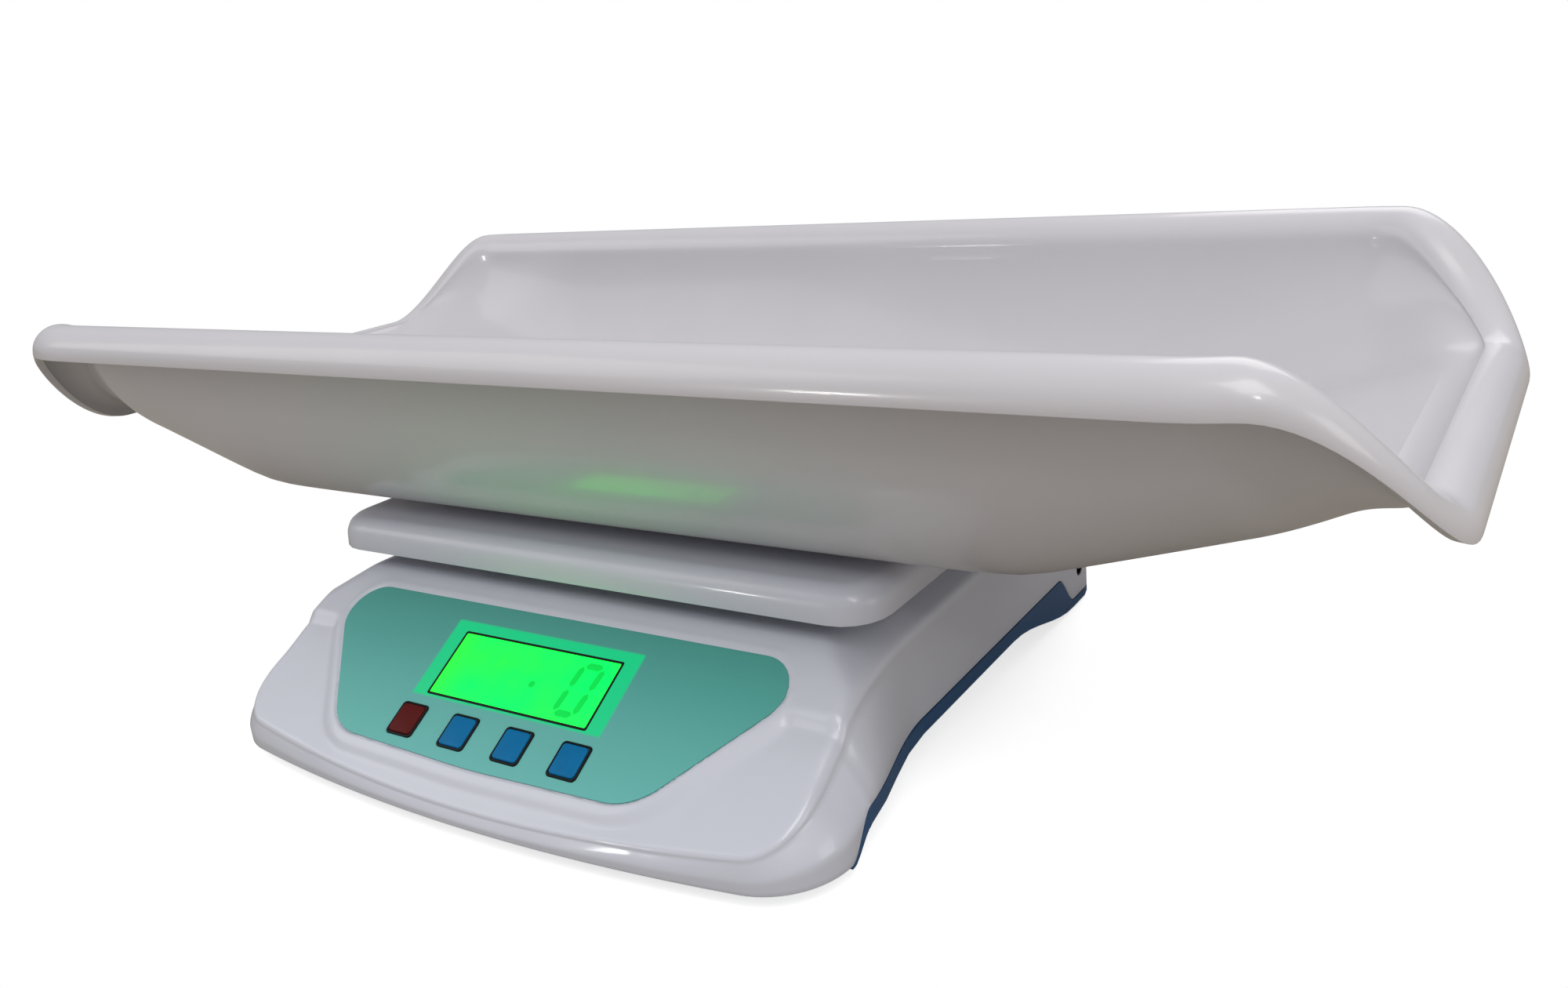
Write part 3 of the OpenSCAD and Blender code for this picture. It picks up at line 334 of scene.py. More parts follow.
def moulded_finish(name, colour, roughness, grain_mm, grain_depth, ior=1.5, coat=0.0,
                   coat_roughness=0.1, mottle_mm=60.0, share=0.92):
    """Moulded thermoplastic: a soft tone change, a fine spark-eroded grain and scuffed gloss."""
    scuff_mm, wear = 22.0, 0.1
    material, tree = new_finish(name)
    place = add(tree, "ShaderNodeTexCoord").outputs["Object"]
    broad = add(tree, "ShaderNodeTexNoise", {"Vector": place, "Scale": 1000 / mottle_mm, "Detail": 3.0})
    tone = add(tree, "ShaderNodeMix", {"Factor": broad.outputs["Fac"], 6: tuple(colour),
                                       7: darker(colour, share)}, data_type="RGBA")
    scuff = add(tree, "ShaderNodeTexNoise", {"Vector": place, "Scale": 1000 / scuff_mm, "Detail": 1.5})
    gloss = add(tree, "ShaderNodeMapRange", {"Value": scuff.outputs["Fac"], "From Min": 0.3,
                                             "From Max": 0.7, "To Min": roughness * (1 - wear),
                                             "To Max": roughness * (1 + wear)})
    grain = add(tree, "ShaderNodeTexNoise", {"Vector": place, "Scale": 1000 / grain_mm, "Detail": 2.0})
    bump = add(tree, "ShaderNodeBump", {"Height": grain.outputs["Fac"], "Strength": 0.35,
                                        "Distance": grain_depth * MM})
    shader = add(tree, "ShaderNodeBsdfPrincipled", {
        "Base Color": tone.outputs[2], "Roughness": gloss.outputs["Result"],
        "Normal": bump.outputs["Normal"], "IOR": ior, "Coat Weight": coat,
        "Coat Roughness": coat_roughness})
    add(tree, "ShaderNodeOutputMaterial", {"Surface": shader.outputs["BSDF"]})
    return material


def white_abs(colour):
    """Injection-moulded ABS with a fine satin grain: soft, broad highlights, a cool white."""
    return moulded_finish("satin_white_abs", colour, 0.34, 0.55, 0.006, coat=0.5,
                          coat_roughness=0.1)


def tray_polystyrene(colour):
    """Gloss high-impact polystyrene, vacuum formed: smooth, with long soft reflections."""
    return moulded_finish("gloss_polystyrene", colour, 0.33, 2.5, 0.004, coat=0.5,
                          coat_roughness=0.11, mottle_mm=90)


def blue_abs(colour):
    """Dark blue ABS of the base: satin, slightly scuffed."""
    return moulded_finish("satin_blue_abs", colour, 0.38, 0.5, 0.008, share=0.75)


def black_abs(colour):
    """Black ABS: matt frame mouldings."""
    return moulded_finish("matt_black_abs", colour, 0.5, 0.4, 0.006, ior=1.3, share=0.6)


def red_key_abs(colour):
    """Dark red ABS key caps, polished by fingers."""
    return moulded_finish("red_key_abs", colour, 0.4, 0.5, 0.004, ior=1.22, mottle_mm=8,
                          share=0.75)


def blue_key_abs(colour):
    """Bright blue ABS key caps, polished by fingers."""
    return moulded_finish("blue_key_abs", colour, 0.4, 0.5, 0.004, ior=1.22, mottle_mm=8,
                          share=0.8)


def black_rubber():
    """Moulded nitrile rubber: dull, dusty black."""
    return moulded_finish("black_nitrile_rubber", linear("#252526"), 0.75, 0.6, 0.03, share=0.6)


def film_label(low_colour, shaded_high_colour):
    """Printed polycarbonate overlay: teal, darkened towards its upper edge by painted shade, and lit
    green from behind round the display window.
    """
    material, tree = new_finish("teal_polycarbonate_film")
    place = add(tree, "ShaderNodeTexCoord").outputs["Object"]
    local = add(tree, "ShaderNodeMapping", {
        "Vector": place, "Location": (0.0, PANEL_Y * MM, PANEL_Z * MM), "Rotation": (TILT, 0.0, 0.0)},
        vector_type="TEXTURE")
    axes = add(tree, "ShaderNodeSeparateXYZ", {"Vector": local.outputs["Vector"]})
    # Painted shade: the film's colour darkens from its lower edge up to its upper edge
    fade = add(tree, "ShaderNodeMapRange", {"Value": axes.outputs["Y"], "From Min": -0.034,
                                            "From Max": 0.026})
    tone = add(tree, "ShaderNodeMix", {"Factor": fade.outputs["Result"], 6: tuple(low_colour),
                                       7: tuple(shaded_high_colour)}, data_type="RGBA")
    fine = add(tree, "ShaderNodeTexNoise", {"Vector": place, "Scale": 1000 / 0.7, "Detail": 2.0})
    bump = add(tree, "ShaderNodeBump", {"Height": fine.outputs["Fac"], "Strength": 0.2,
                                        "Distance": 0.004 * MM})
    # Light leaks past the display cell, so the film glows in a band round the window
    masks, soft = [], 0.0012
    for axis, low, high in (("X", -0.0415, 0.0415), ("Y", -0.0135, 0.0165)):
        rise = add(tree, "ShaderNodeMapRange", {"Value": axes.outputs[axis], "From Min": low - soft,
                                                "From Max": low}, interpolation_type="SMOOTHSTEP")
        drop = add(tree, "ShaderNodeMapRange", {"Value": axes.outputs[axis], "From Min": high,
                                                "From Max": high + soft, "To Min": 1.0,
                                                "To Max": 0.0}, interpolation_type="SMOOTHSTEP")
        masks.append(add(tree, "ShaderNodeMath", {0: rise.outputs["Result"],
                                                  1: drop.outputs["Result"]}, operation="MULTIPLY"))
    glow = add(tree, "ShaderNodeMath", {0: masks[0].outputs[0], 1: masks[1].outputs[0]},
               operation="MULTIPLY")
    strength = add(tree, "ShaderNodeMath", {0: glow.outputs[0], 1: 0.5}, operation="MULTIPLY")
    tone = add(tree, "ShaderNodeMix", {"Factor": glow.outputs[0], 6: tone.outputs[2],
                                       7: linear("#156F5A")}, data_type="RGBA")
    shader = add(tree, "ShaderNodeBsdfPrincipled", {
        "Base Color": tone.outputs[2], "Roughness": 0.3, "Normal": bump.outputs["Normal"],
        "IOR": 1.35, "Emission Color": linear("#00F592"), "Emission Strength": strength.outputs[0]})
    add(tree, "ShaderNodeOutputMaterial", {"Surface": shader.outputs["BSDF"]})
    return material


def lit_display(colour):
    """Backlit display: an even bright green with a faint warmer patch at the lamp's side."""
    material, tree = new_finish("lit_green_display")
    place = add(tree, "ShaderNodeTexCoord").outputs["Object"]
    axes = add(tree, "ShaderNodeSeparateXYZ", {"Vector": place})
    lamp = add(tree, "ShaderNodeMapRange", {"Value": axes.outputs["X"], "From Min": -0.036,
                                            "From Max": -0.024})
    cloud = add(tree, "ShaderNodeTexNoise", {"Vector": place, "Scale": 1000 / 18.0, "Detail": 2.0})
    blend = add(tree, "ShaderNodeMath", {0: lamp.outputs["Result"], 1: cloud.outputs["Fac"]},
                operation="MULTIPLY_ADD")
    blend.inputs[2].default_value = 0.35
    tone = add(tree, "ShaderNodeMix", {"Factor": blend.outputs[0], 6: linear("#2EFF10"),
                                       7: tuple(colour)}, data_type="RGBA")
    shader = add(tree, "ShaderNodeBsdfPrincipled", {
        "Base Color": linear("#053A1C"), "Roughness": 0.25, "IOR": 1.2,
        "Emission Color": tone.outputs[2], "Emission Strength": 2.0})
    add(tree, "ShaderNodeOutputMaterial", {"Surface": shader.outputs["BSDF"]})
    return material


def display_segments():
    """Liquid crystal that is switched on: the backlight shows through it, dimmer."""
    material, tree = new_finish("dark_liquid_crystal")
    place = add(tree, "ShaderNodeTexCoord").outputs["Object"]
    cloud = add(tree, "ShaderNodeTexNoise", {"Vector": place, "Scale": 1000 / 6.0, "Detail": 2.0})
    tone = add(tree, "ShaderNodeMix", {"Factor": cloud.outputs["Fac"], 6: linear("#05E650"),
                                       7: linear("#06DC4C")}, data_type="RGBA")
    shader = add(tree, "ShaderNodeBsdfPrincipled", {
        "Base Color": linear("#053A1C"), "Roughness": 0.3, "IOR": 1.2,
        "Emission Color": tone.outputs[2], "Emission Strength": 0.95})
    add(tree, "ShaderNodeOutputMaterial", {"Surface": shader.outputs["BSDF"]})
    return material


def metal_finish(name, colour, shade, roughness, line_mm):
    """Metal with rolling or turning lines along X, its colours as hex."""
    material, tree = new_finish(name)
    place = add(tree, "ShaderNodeTexCoord").outputs["Object"]
    stretch = add(tree, "ShaderNodeMapping", {"Vector": place, "Scale": (0.05, 1.0, 1.0)})
    lines = add(tree, "ShaderNodeTexNoise", {"Vector": stretch.outputs["Vector"],
                                             "Scale": 1000 / line_mm, "Detail": 3.0})
    tone = add(tree, "ShaderNodeMix", {"Factor": lines.outputs["Fac"], 6: linear(colour),
                                       7: linear(shade)}, data_type="RGBA")
    rough = add(tree, "ShaderNodeMapRange", {"Value": lines.outputs["Fac"], "To Min": roughness * 0.7,
                                             "To Max": roughness * 1.3})
    bump = add(tree, "ShaderNodeBump", {"Height": lines.outputs["Fac"], "Strength": 0.2,
                                        "Distance": 0.01 * MM})
    shader = add(tree, "ShaderNodeBsdfPrincipled", {
        "Base Color": tone.outputs[2], "Metallic": 1.0, "Roughness": rough.outputs["Result"],
        "Normal": bump.outputs["Normal"]})
    add(tree, "ShaderNodeOutputMaterial", {"Surface": shader.outputs["BSDF"]})
    return material


def circuit_board():
    """Epoxy glass board with green solder resist over fine copper tracks."""
    material, tree = new_finish("green_solder_resist")
    place = add(tree, "ShaderNodeTexCoord").outputs["Object"]
    tracks = add(tree, "ShaderNodeTexBrick", {
        "Vector": place, "Scale": 1000 / 6.0, "Color1": linear("#0F4A22"), "Color2": linear("#11552A"),
        "Mortar": linear("#2A7A3C"), "Mortar Size": 0.03})
    shader = add(tree, "ShaderNodeBsdfPrincipled", {"Base Color": tracks.outputs["Color"],
                                                    "Roughness": 0.35, "IOR": 1.55})
    add(tree, "ShaderNodeOutputMaterial", {"Surface": shader.outputs["BSDF"]})
    return material


def battery_sleeve():
    """Printed PET sleeve of a battery: dark green, glossy."""
    return moulded_finish("green_pet_sleeve", linear("#1E3B28"), 0.22, 3.0, 0.002, mottle_mm=5,
                          share=0.7)


FINISHES = {}


def finishes():
    if not FINISHES:
        tints = bpy.context.scene.scale_colours
        lit = lit_display(tints.display)
        FINISHES.update(
            white_abs=white_abs(tints.housing), tray_white=tray_polystyrene(tints.tray),
            blue_abs=blue_abs(tints.base), teal_label=film_label(tints.label_low, tints.label_high_shaded),
            black_abs=black_abs(tints.frames), lcd_window=lit, lcd_glass=lit, backlight=lit,
            board=circuit_board(),
            steel=metal_finish("zinc_plated_steel", "#B4B7BA", "#9EA2A6", 0.35, 0.6),
            steel_plate=metal_finish("galvanised_sheet_steel", "#A9ADB0", "#95999D", 0.42, 3.0),
            red_key=red_key_abs(tints.red_key), blue_key=blue_key_abs(tints.blue_keys),
            rubber=black_rubber(),
            aluminium=metal_finish("milled_aluminium", "#C9CBCE", "#B8BBBF", 0.32, 0.8),
            cable=moulded_finish("black_pvc_sleeve", linear("#1E1E1E"), 0.45, 1.0, 0.01, share=0.7),
            battery=battery_sleeve(),
            contact=metal_finish("nickel_plated_spring_steel", "#C6C2B8", "#B3AFA4", 0.25, 0.5),
            segments=display_segments())
    return FINISHES


# ---- form of the housing ----------------------------------------------------------------

def flare(y):
    """Share of the flare that the housing's side has reached."""
    return smooth((FLARE_Y - y) / FLARE_LEN)


def side_x(y):
    return BODY_HW + FLARE_W * flare(y)


def front_y(x):
    """The bowed front edge in plan."""
    return FRONT_Y + BOW * (x / (BODY_HW + FLARE_W)) ** 2


def spaced(points, step):
    """Points at even steps along a chain, ends kept."""
    points = np.array(points, float)
    length = np.concatenate([[0], np.cumsum(np.linalg.norm(np.diff(points[:, :2], axis=0), axis=1))])
    count = max(2, int(round(length[-1] / step)) + 1)
    at = np.linspace(0, length[-1], count)
    return np.stack([np.interp(at, length, points[:, k]) for k in range(points.shape[1])], axis=1)


def housing_outline():
    """Clockwise outline from the middle of the rear: x, y and the share of the way round the
    front corner."""
    centre_x = BODY_HW + FLARE_W - FRONT_R
    bow = math.atan(2 * BOW * (centre_x + TOUCH_PAST) / (BODY_HW + FLARE_W) ** 2)
    touch_x = centre_x + FRONT_R * math.sin(bow)
    centre_y = front_y(touch_x) + FRONT_R * math.cos(bow)
    half = [(0.0, REAR_Y, 0.0), (BODY_HW - REAR_R, REAR_Y, 0.0)]
    for k in range(1, REAR_STEPS + 1):
        a = math.radians(90 - 90 * k / REAR_STEPS)
        half.append((BODY_HW - REAR_R + REAR_R * math.cos(a),
                     REAR_Y - REAR_R + REAR_R * math.sin(a), 0.0))
    half += [(side_x(y), y, 0.0) for y in np.linspace(SIDE_FROM, SIDE_TO, SIDE_STEPS)]
    for k in range(FRONT_STEPS + 1):
        a = -(math.pi / 2 - bow) * k / FRONT_STEPS
        half.append((centre_x + FRONT_R * math.cos(a), centre_y + FRONT_R * math.sin(a),
                     k / FRONT_STEPS))
    half += [(x, front_y(x), 1.0) for x in np.linspace(touch_x, 0, SIDE_STEPS)[1:]]
    half = spaced(half, OUTLINE_STEP)
    left = half[-2:0:-1] * np.array([-1, 1, 1])
    return np.vstack([half, left])


def label_outline():
    """Outline of the film label on the panel: x across, s up the slope."""
    corners = [(LABEL_TOP_HW, LABEL_UP, LABEL_TOP_R), (LABEL_LOW_HW, -LABEL_DOWN, LABEL_LOW_R),
               (0, -LABEL_TIP, LABEL_TIP_R), (-LABEL_LOW_HW, -LABEL_DOWN, LABEL_LOW_R),
               (-LABEL_TOP_HW, LABEL_UP, LABEL_TOP_R)]
    out = []
    for i, (x, s, r) in enumerate(corners):
        p = np.array((x, s))
        u = np.array(corners[i - 1][:2]) - p
        v = np.array(corners[(i + 1) % len(corners)][:2]) - p
        u, v = u / np.linalg.norm(u), v / np.linalg.norm(v)
        half_angle = math.acos(max(-1, min(1, u @ v))) / 2
        centre = p + (u + v) / np.linalg.norm(u + v) * r / math.sin(half_angle)
        a = p + u * r / math.tan(half_angle) - centre
        b = p + v * r / math.tan(half_angle) - centre
        a0 = math.atan2(a[1], a[0])
        sweep = (math.atan2(b[1], b[0]) - a0 + math.pi) % (2 * math.pi) - math.pi
        turns = [a0 + sweep * k / ARC_STEPS for k in range(ARC_STEPS + 1)]
        out += [centre + r * np.array((math.cos(a), math.sin(a))) for a in turns]
    return np.array(out)


LABEL = label_outline()


def label_distance(x, s):
    """Distance outside the label's outline, negative inside."""
    a, b = LABEL, np.roll(LABEL, -1, axis=0)
    d = b - a
    p = np.stack([x, s], axis=-1)[:, None, :]
    t = np.clip(((p - a) * d).sum(-1) / (d * d).sum(-1), 0, 1)
    near = np.sqrt((((p - a) - t[..., None] * d) ** 2).sum(-1)).min(axis=1)
    side = ((p - a)[..., 0] * d[:, 1] - (p - a)[..., 1] * d[:, 0])
    inside = (side <= 0).all(axis=1) | (side >= 0).all(axis=1)
    return np.where(inside, -near, near)


def top_height(x, y, detail=True):
    """Height of the housing's top over plan points, with soft creases."""
    x, y = np.atleast_1d(np.asarray(x, float)), np.atleast_1d(np.asarray(y, float))
    plateau = PANEL_Z + (y - PANEL_Y) * math.tan(TILT)
    s = (y - PANEL_Y) / math.cos(TILT)
    d = label_distance(x, s)
    below = 1 - smooth((s - APRON_TOP + APRON_FADE) / (2 * APRON_FADE))
    low = smooth((d - APRON_FROM) / APRON_RUN) * below
    panel = plateau - APRON_STEP * low / math.cos(TILT)
    if detail:
        bead = BEAD_H * np.exp(-((d - BEAD_AT) / BEAD_W) ** 2)
        pocket = -POCKET_DEPTH * (1 - smooth((d - POCKET_FROM) / POCKET_RUN))
        panel = panel + (bead + pocket) / math.cos(TILT)
    shoulder = SHOULDER_Z + (SHOULDER_X - np.abs(x)) * (DECK_Z - SHOULDER_Z) / SHOULDER_W
    deck = soft_min(np.full_like(x, DECK_Z), shoulder, SHOULDER_BLEND)
    return soft_min(deck, panel, PANEL_BLEND)


def outline_normals(points):
    """Outward normals of a clockwise outline."""
    d = np.roll(points, -1, axis=0) - np.roll(points, 1, axis=0)
    n = np.stack([-d[:, 1], d[:, 0]], axis=1)
    return n / np.linalg.norm(n, axis=1, keepdims=True)


def white_low(y):
    """Lower edge of the white housing, which leaves the blue band free along the sides."""
    rise = mix(SKIRT_Z, BAND_Z, smooth((y - BAND_FROM) / BAND_RISE))
    fall = mix(BAND_Z, REAR_Z, smooth((y - BAND_TO) / BAND_FALL))
    return np.where(y < BAND_TO, rise, fall)


def housing_skin():
    """Rings of points from the housing's lower edge over its rounded shoulder to a spine."""
    ring = housing_outline()
    plan, share = ring[:, :2], ring[:, 2]
    normal = outline_normals(plan)
    lean = mix(mix(SIDE_LEAN, FLARE_LEAN, flare(plan[:, 1])), FRONT_LEAN, smooth(share))
    radius = mix(TURN_R, FRONT_TURN_R, smooth(share))
    foot = plan - lean[:, None] * normal
    inner = foot - SLOPE_REACH * normal
    base = top_height(foot[:, 0], foot[:, 1], False)
    slope = np.arctan2(top_height(inner[:, 0], inner[:, 1], False) - base, SLOPE_REACH)
    wall_top = base + radius * np.tan(slope) - radius / np.cos(slope)
    low = white_low(plan[:, 1])
    wall_low = low + LOWER_EDGE[-1][0]
    knee = np.minimum(SKIRT_Z + KNEE_SHARE * (wall_top - SKIRT_Z), wall_top - KNEE_GAP)
    knee = np.maximum(knee, wall_low)
    wall_top = np.maximum(wall_top, knee + KNEE_MIN)
    rings = [np.column_stack([plan - e * normal, low + rise]) for rise, e in LOWER_EDGE]
    for k in range(1, WALL_ROWS + 1):
        rings.append(np.column_stack([plan, mix(wall_low, knee, k / WALL_ROWS)]))
    for k in range(1, LEAN_ROWS + 1):
        t = k / LEAN_ROWS
        inset = (lean * t ** LEAN_POWER)[:, None] * normal
        rings.append(np.column_stack([plan - inset, mix(knee, wall_top, t)]))
    turn = math.pi / 2 - slope
    end_e = lean + radius * (1 - np.cos(turn))
    end = plan - end_e[:, None] * normal
    gap = top_height(end[:, 0], end[:, 1]) - (wall_top + radius * np.sin(turn))
    for k in range(1, TURN_ROWS + 1):
        t = k / TURN_ROWS
        e = lean + radius * (1 - np.cos(turn * t))
        z = wall_top + radius * np.sin(turn * t) + gap * t ** 2
        rings.append(np.column_stack([plan - e[:, None] * normal, z]))
    spine = np.column_stack([np.zeros(len(end)), np.clip(end[:, 1], SPINE_FRONT, SPINE_REAR)])
    for k in range(1, TOP_ROWS + 1):
        p = mix(end, spine, k / TOP_ROWS)
        rings.append(np.column_stack([p, top_height(p[:, 0], p[:, 1])]))
    return rings


def ring_faces(count, n):
    """Faces between rings of n points that follow each other."""
    faces = []
    for k in range(count - 1):
        a, b = k * n, (k + 1) * n
        faces += [(a + i, b + i, b + (i + 1) % n, a + (i + 1) % n) for i in range(n)]
    return faces


class SCALE_OT_housing(bpy.types.Operator):
    """Moulds the white upper housing with its panel, raised plateau and soft creases"""
    bl_idname = "scale.housing"
    bl_label = "Upper housing"

    def execute(self, context):
        rings = housing_skin()
        n = len(rings[0])
        obj = mesh_object("housing_shell", np.vstack(rings), ring_faces(len(rings), n))
        outward(obj)
        face_up(obj, obj.data.polygons[len(obj.data.polygons) // 2])
        modify(obj, "SOLIDIFY", thickness=context.scene.scale_sizes.wall, offset=-1.0)
        tools = [cylinder("post_hole", POST_HOLE_R, POST_HOLE_LOW, POST_HOLE_HIGH, x, y)
                 for x, y in POSTS]
        socket = cylinder("socket_hole", SOCKET_R, -SOCKET_CUT, SOCKET_CUT, 0, 0)
        socket.matrix_world = (Matrix.Translation((BODY_HW * MM, SOCKET_Y * MM, SOCKET_Z * MM))
                               @ Matrix.Rotation(math.pi / 2, 4, "Y"))
        settle(socket)
        cut(obj, tools + [socket])
        smooth_shade(obj, 40)
        finish_piece(obj, "housing", "white_abs", finishes()["white_abs"], "upper_housing")
        return {"FINISHED"}


class SCALE_OT_platform(bpy.types.Operator):
    """Shapes the weighing platform with its rounded rim and four posts"""
    bl_idname = "scale.platform"
    bl_label = "Weighing platform"

    def execute(self, context):
        sizes = context.scene.scale_sizes
        w, d = sizes.platform_width / MM, sizes.platform_depth / MM
        obj = bevelled_block("platform_top", w, d, PLATFORM_LOW, PLATFORM_HIGH, 0, PAN_Y,
                             corner=PLATFORM_CORNER, edge=PLATFORM_EDGE, segments=8)
        for v in obj.data.vertices:
            rise = (v.co.z / MM - PLATFORM_LOW) / (PLATFORM_HIGH - PLATFORM_LOW)
            v.co.x *= 1 - PLATFORM_LEAN / (w / 2) * rise
            narrowed = (v.co.y / MM - PAN_Y) * (1 - PLATFORM_LEAN / (d / 2) * rise)
            v.co.y = (PAN_Y + narrowed) * MM
        only(obj)
        bpy.ops.object.mode_set(mode="EDIT")
        bpy.ops.mesh.select_mode(type="FACE")
        bpy.ops.mesh.select_all(action="DESELECT")
        bpy.ops.object.mode_set(mode="OBJECT")
        for f in obj.data.polygons:
            f.select = f.normal.z < -0.9
        bpy.ops.object.mode_set(mode="EDIT")
        bpy.ops.mesh.delete(type="FACE")
        bpy.ops.object.mode_set(mode="OBJECT")
        modify(obj, "SOLIDIFY", thickness=PLATFORM_WALL * MM, offset=-1.0)
        modify(obj, "BEVEL", width=PLATFORM_ARRIS * MM, segments=2, limit_method="ANGLE",
               angle_limit=math.radians(60))
        posts = [cylinder("post", POST_R, POST_LOW, POST_HIGH, x, y) for x, y in POSTS]
        obj = join([obj] + posts, "platform_moulding")
        smooth_shade(obj, 35)
        finish_piece(obj, "platform", "white_abs", finishes()["white_abs"], "platform")
        return {"FINISHED"}


# ---- form of the tray -------------------------------------------------------------------

def tray_stations(rim_x, rim_y):
    """Quarter of the tray's plan: share of the corner, point on the rim, point on the floor."""
    arc_x, arc_y = rim_x - CREST_R, rim_y - CREST_R
    floor_x, floor_y = FLOOR_X - FLOOR_R, FLOOR_Y - FLOOR_R
    out = [(0.0, (x, rim_y), (x, FLOOR_Y)) for x in np.linspace(0, LEVEL_X, LEVEL_STEPS)]
    out += [(0.0, (mix(LEVEL_X, arc_x, t), rim_y), (mix(LEVEL_X, floor_x, t), FLOOR_Y))
            for t in np.linspace(0, 1, SLOPE_STEPS)[1:-1]]
    for k in range(CORNER_STEPS + 1):
        q = k / CORNER_STEPS
        n = np.array((math.sin(math.pi / 2 * q), math.cos(math.pi / 2 * q)))
        out.append((q, (arc_x + CREST_R * n[0], arc_y + CREST_R * n[1]),
                    (floor_x + FLOOR_R * n[0], floor_y + FLOOR_R * n[1])))
    out += [(1.0, (rim_x, arc_y * (1 - t)), (FLOOR_X, floor_y * (1 - t)))
            for t in np.linspace(0, 1, FLOOR_CELLS // 2 + 1)[1:]]
    return out


def tray_rings(sizes):
    """Upper face of the tray, ring by ring from the floor over the rolled rim to the lip."""
    side_r, end_r = sizes.rim_radius / MM, sizes.end_rim_radius / MM
    side_z = TRAY_Z + sizes.rim_height / MM - side_r
    end_z = TRAY_Z + sizes.end_height / MM - end_r
    stations = tray_stations(sizes.tray_length / MM / 2 - end_r, sizes.tray_width / MM / 2 - side_r)
    rows = []
    for row in range(BOWL_ROWS + ROLL_ROWS + LIP_ROWS + 1):
        ring = []
        for q, rim, floor in stations:
            n = np.array((math.sin(math.pi / 2 * q), math.cos(math.pi / 2 * q)))
            rim, floor = np.array(rim), np.array(floor)
            blend = float(smooth((q - BLEND_FROM) / BLEND_SPAN))
            r, zc = mix(side_r, end_r, blend), mix(side_z, end_z, blend)
            start = math.radians(mix(SIDE_TURN, END_TURN, blend))
            over = floor[0] - LEVEL_X
            ramp = (over + math.sqrt(over * over + FLOOR_SOFT)) / 2
            fz = TRAY_Z + sizes.tray_wall / MM + FLOOR_SLOPE * ramp
            if row <= BOWL_ROWS:
                t = math.pi / 2 * row / BOWL_ROWS
                side = math.sin(t) ** (2 / BOWL_POWER)
                g = max(0.0, math.cos(t)) ** (2 / BOWL_POWER)
                top = rim + r * math.cos(start) * n
                zs = zc + r * math.sin(start)
                p = floor + (top - floor) * side
                z = zs - (zs - fz) * g
            elif row <= BOWL_ROWS + ROLL_ROWS:
                a = start * (1 - (row - BOWL_ROWS) / ROLL_ROWS)
                p, z = rim + r * math.cos(a) * n, zc + r * math.sin(a)
            else:
                k = row - BOWL_ROWS - ROLL_ROWS
                p, z = rim + (r - LIP_LEAN * k) * n, zc - LIP * k / LIP_ROWS
            ring.append((p[0], p[1], z))
        quarter = np.array(ring)
        right = np.vstack([quarter, quarter[-2::-1] * (1, -1, 1)])
        rows.append(np.vstack([right, right[-2:0:-1] * (-1, 1, 1)]) + (0, PAN_Y, 0))
    return rows, len(stations)


class SCALE_OT_tray(bpy.types.Operator):
    """Forms the baby tray with its rolled rim, low open ends and sloping floor"""
    bl_idname = "scale.tray"
    bl_label = "Baby tray"

    def execute(self, context):
        sizes = context.scene.scale_sizes
        rows, m = tray_rings(sizes)
        n = len(rows[0])
        points = list(np.vstack(rows))
        faces = ring_faces(len(rows), n)
        # Floor: columns from each point of the first ring to its mirror point, cut in cells;
        # the outermost columns lie on the ring's own straight ends
        first = rows[0]
        last = m - 1 - FLOOR_CELLS // 2
        columns = [[n - last - c for c in range(FLOOR_CELLS + 1)]]
        for i in [(-k) % n for k in range(last - 1, 0, -1)] + list(range(0, last)):
            j = (2 * m - 2 - i) % n
            column = [i]
            for c in range(1, FLOOR_CELLS):
                column.append(len(points))
                points.append(tuple(mix(first[i], first[j], c / FLOOR_CELLS)))
            columns.append(column + [j])
        columns.append([last + c for c in range(FLOOR_CELLS + 1)])
        for a, b in zip(columns, columns[1:]):
            faces += [(a[c], b[c], b[c + 1], a[c + 1]) for c in range(FLOOR_CELLS)]
        obj = mesh_object("tray_shell", points, faces)
        outward(obj)
        middle = Vector((0, PAN_Y * MM, TRAY_Z * MM + sizes.tray_wall))
        face_up(obj, min(obj.data.polygons, key=lambda f: (f.center - middle).length))
        modify(obj, "SOLIDIFY", thickness=sizes.tray_wall, offset=-1.0)
        modify(obj, "BEVEL", width=LIP_ARRIS * MM, segments=3, limit_method="ANGLE",
               angle_limit=math.radians(50))
        smooth_shade(obj, 40)
        finish_piece(obj, "tray", "tray_white", finishes()["tray_white"], "tray")
        return {"FINISHED"}


# ---- panel -------------------------------------------------------------------------------

def hole(w, d, x, s, corner):
    """A cutter through the film or a frame."""
    return bevelled_block("hole", w, d, -CUT_REACH, CUT_REACH, x, s, corner=corner, edge=0.1,
                          segments=1)


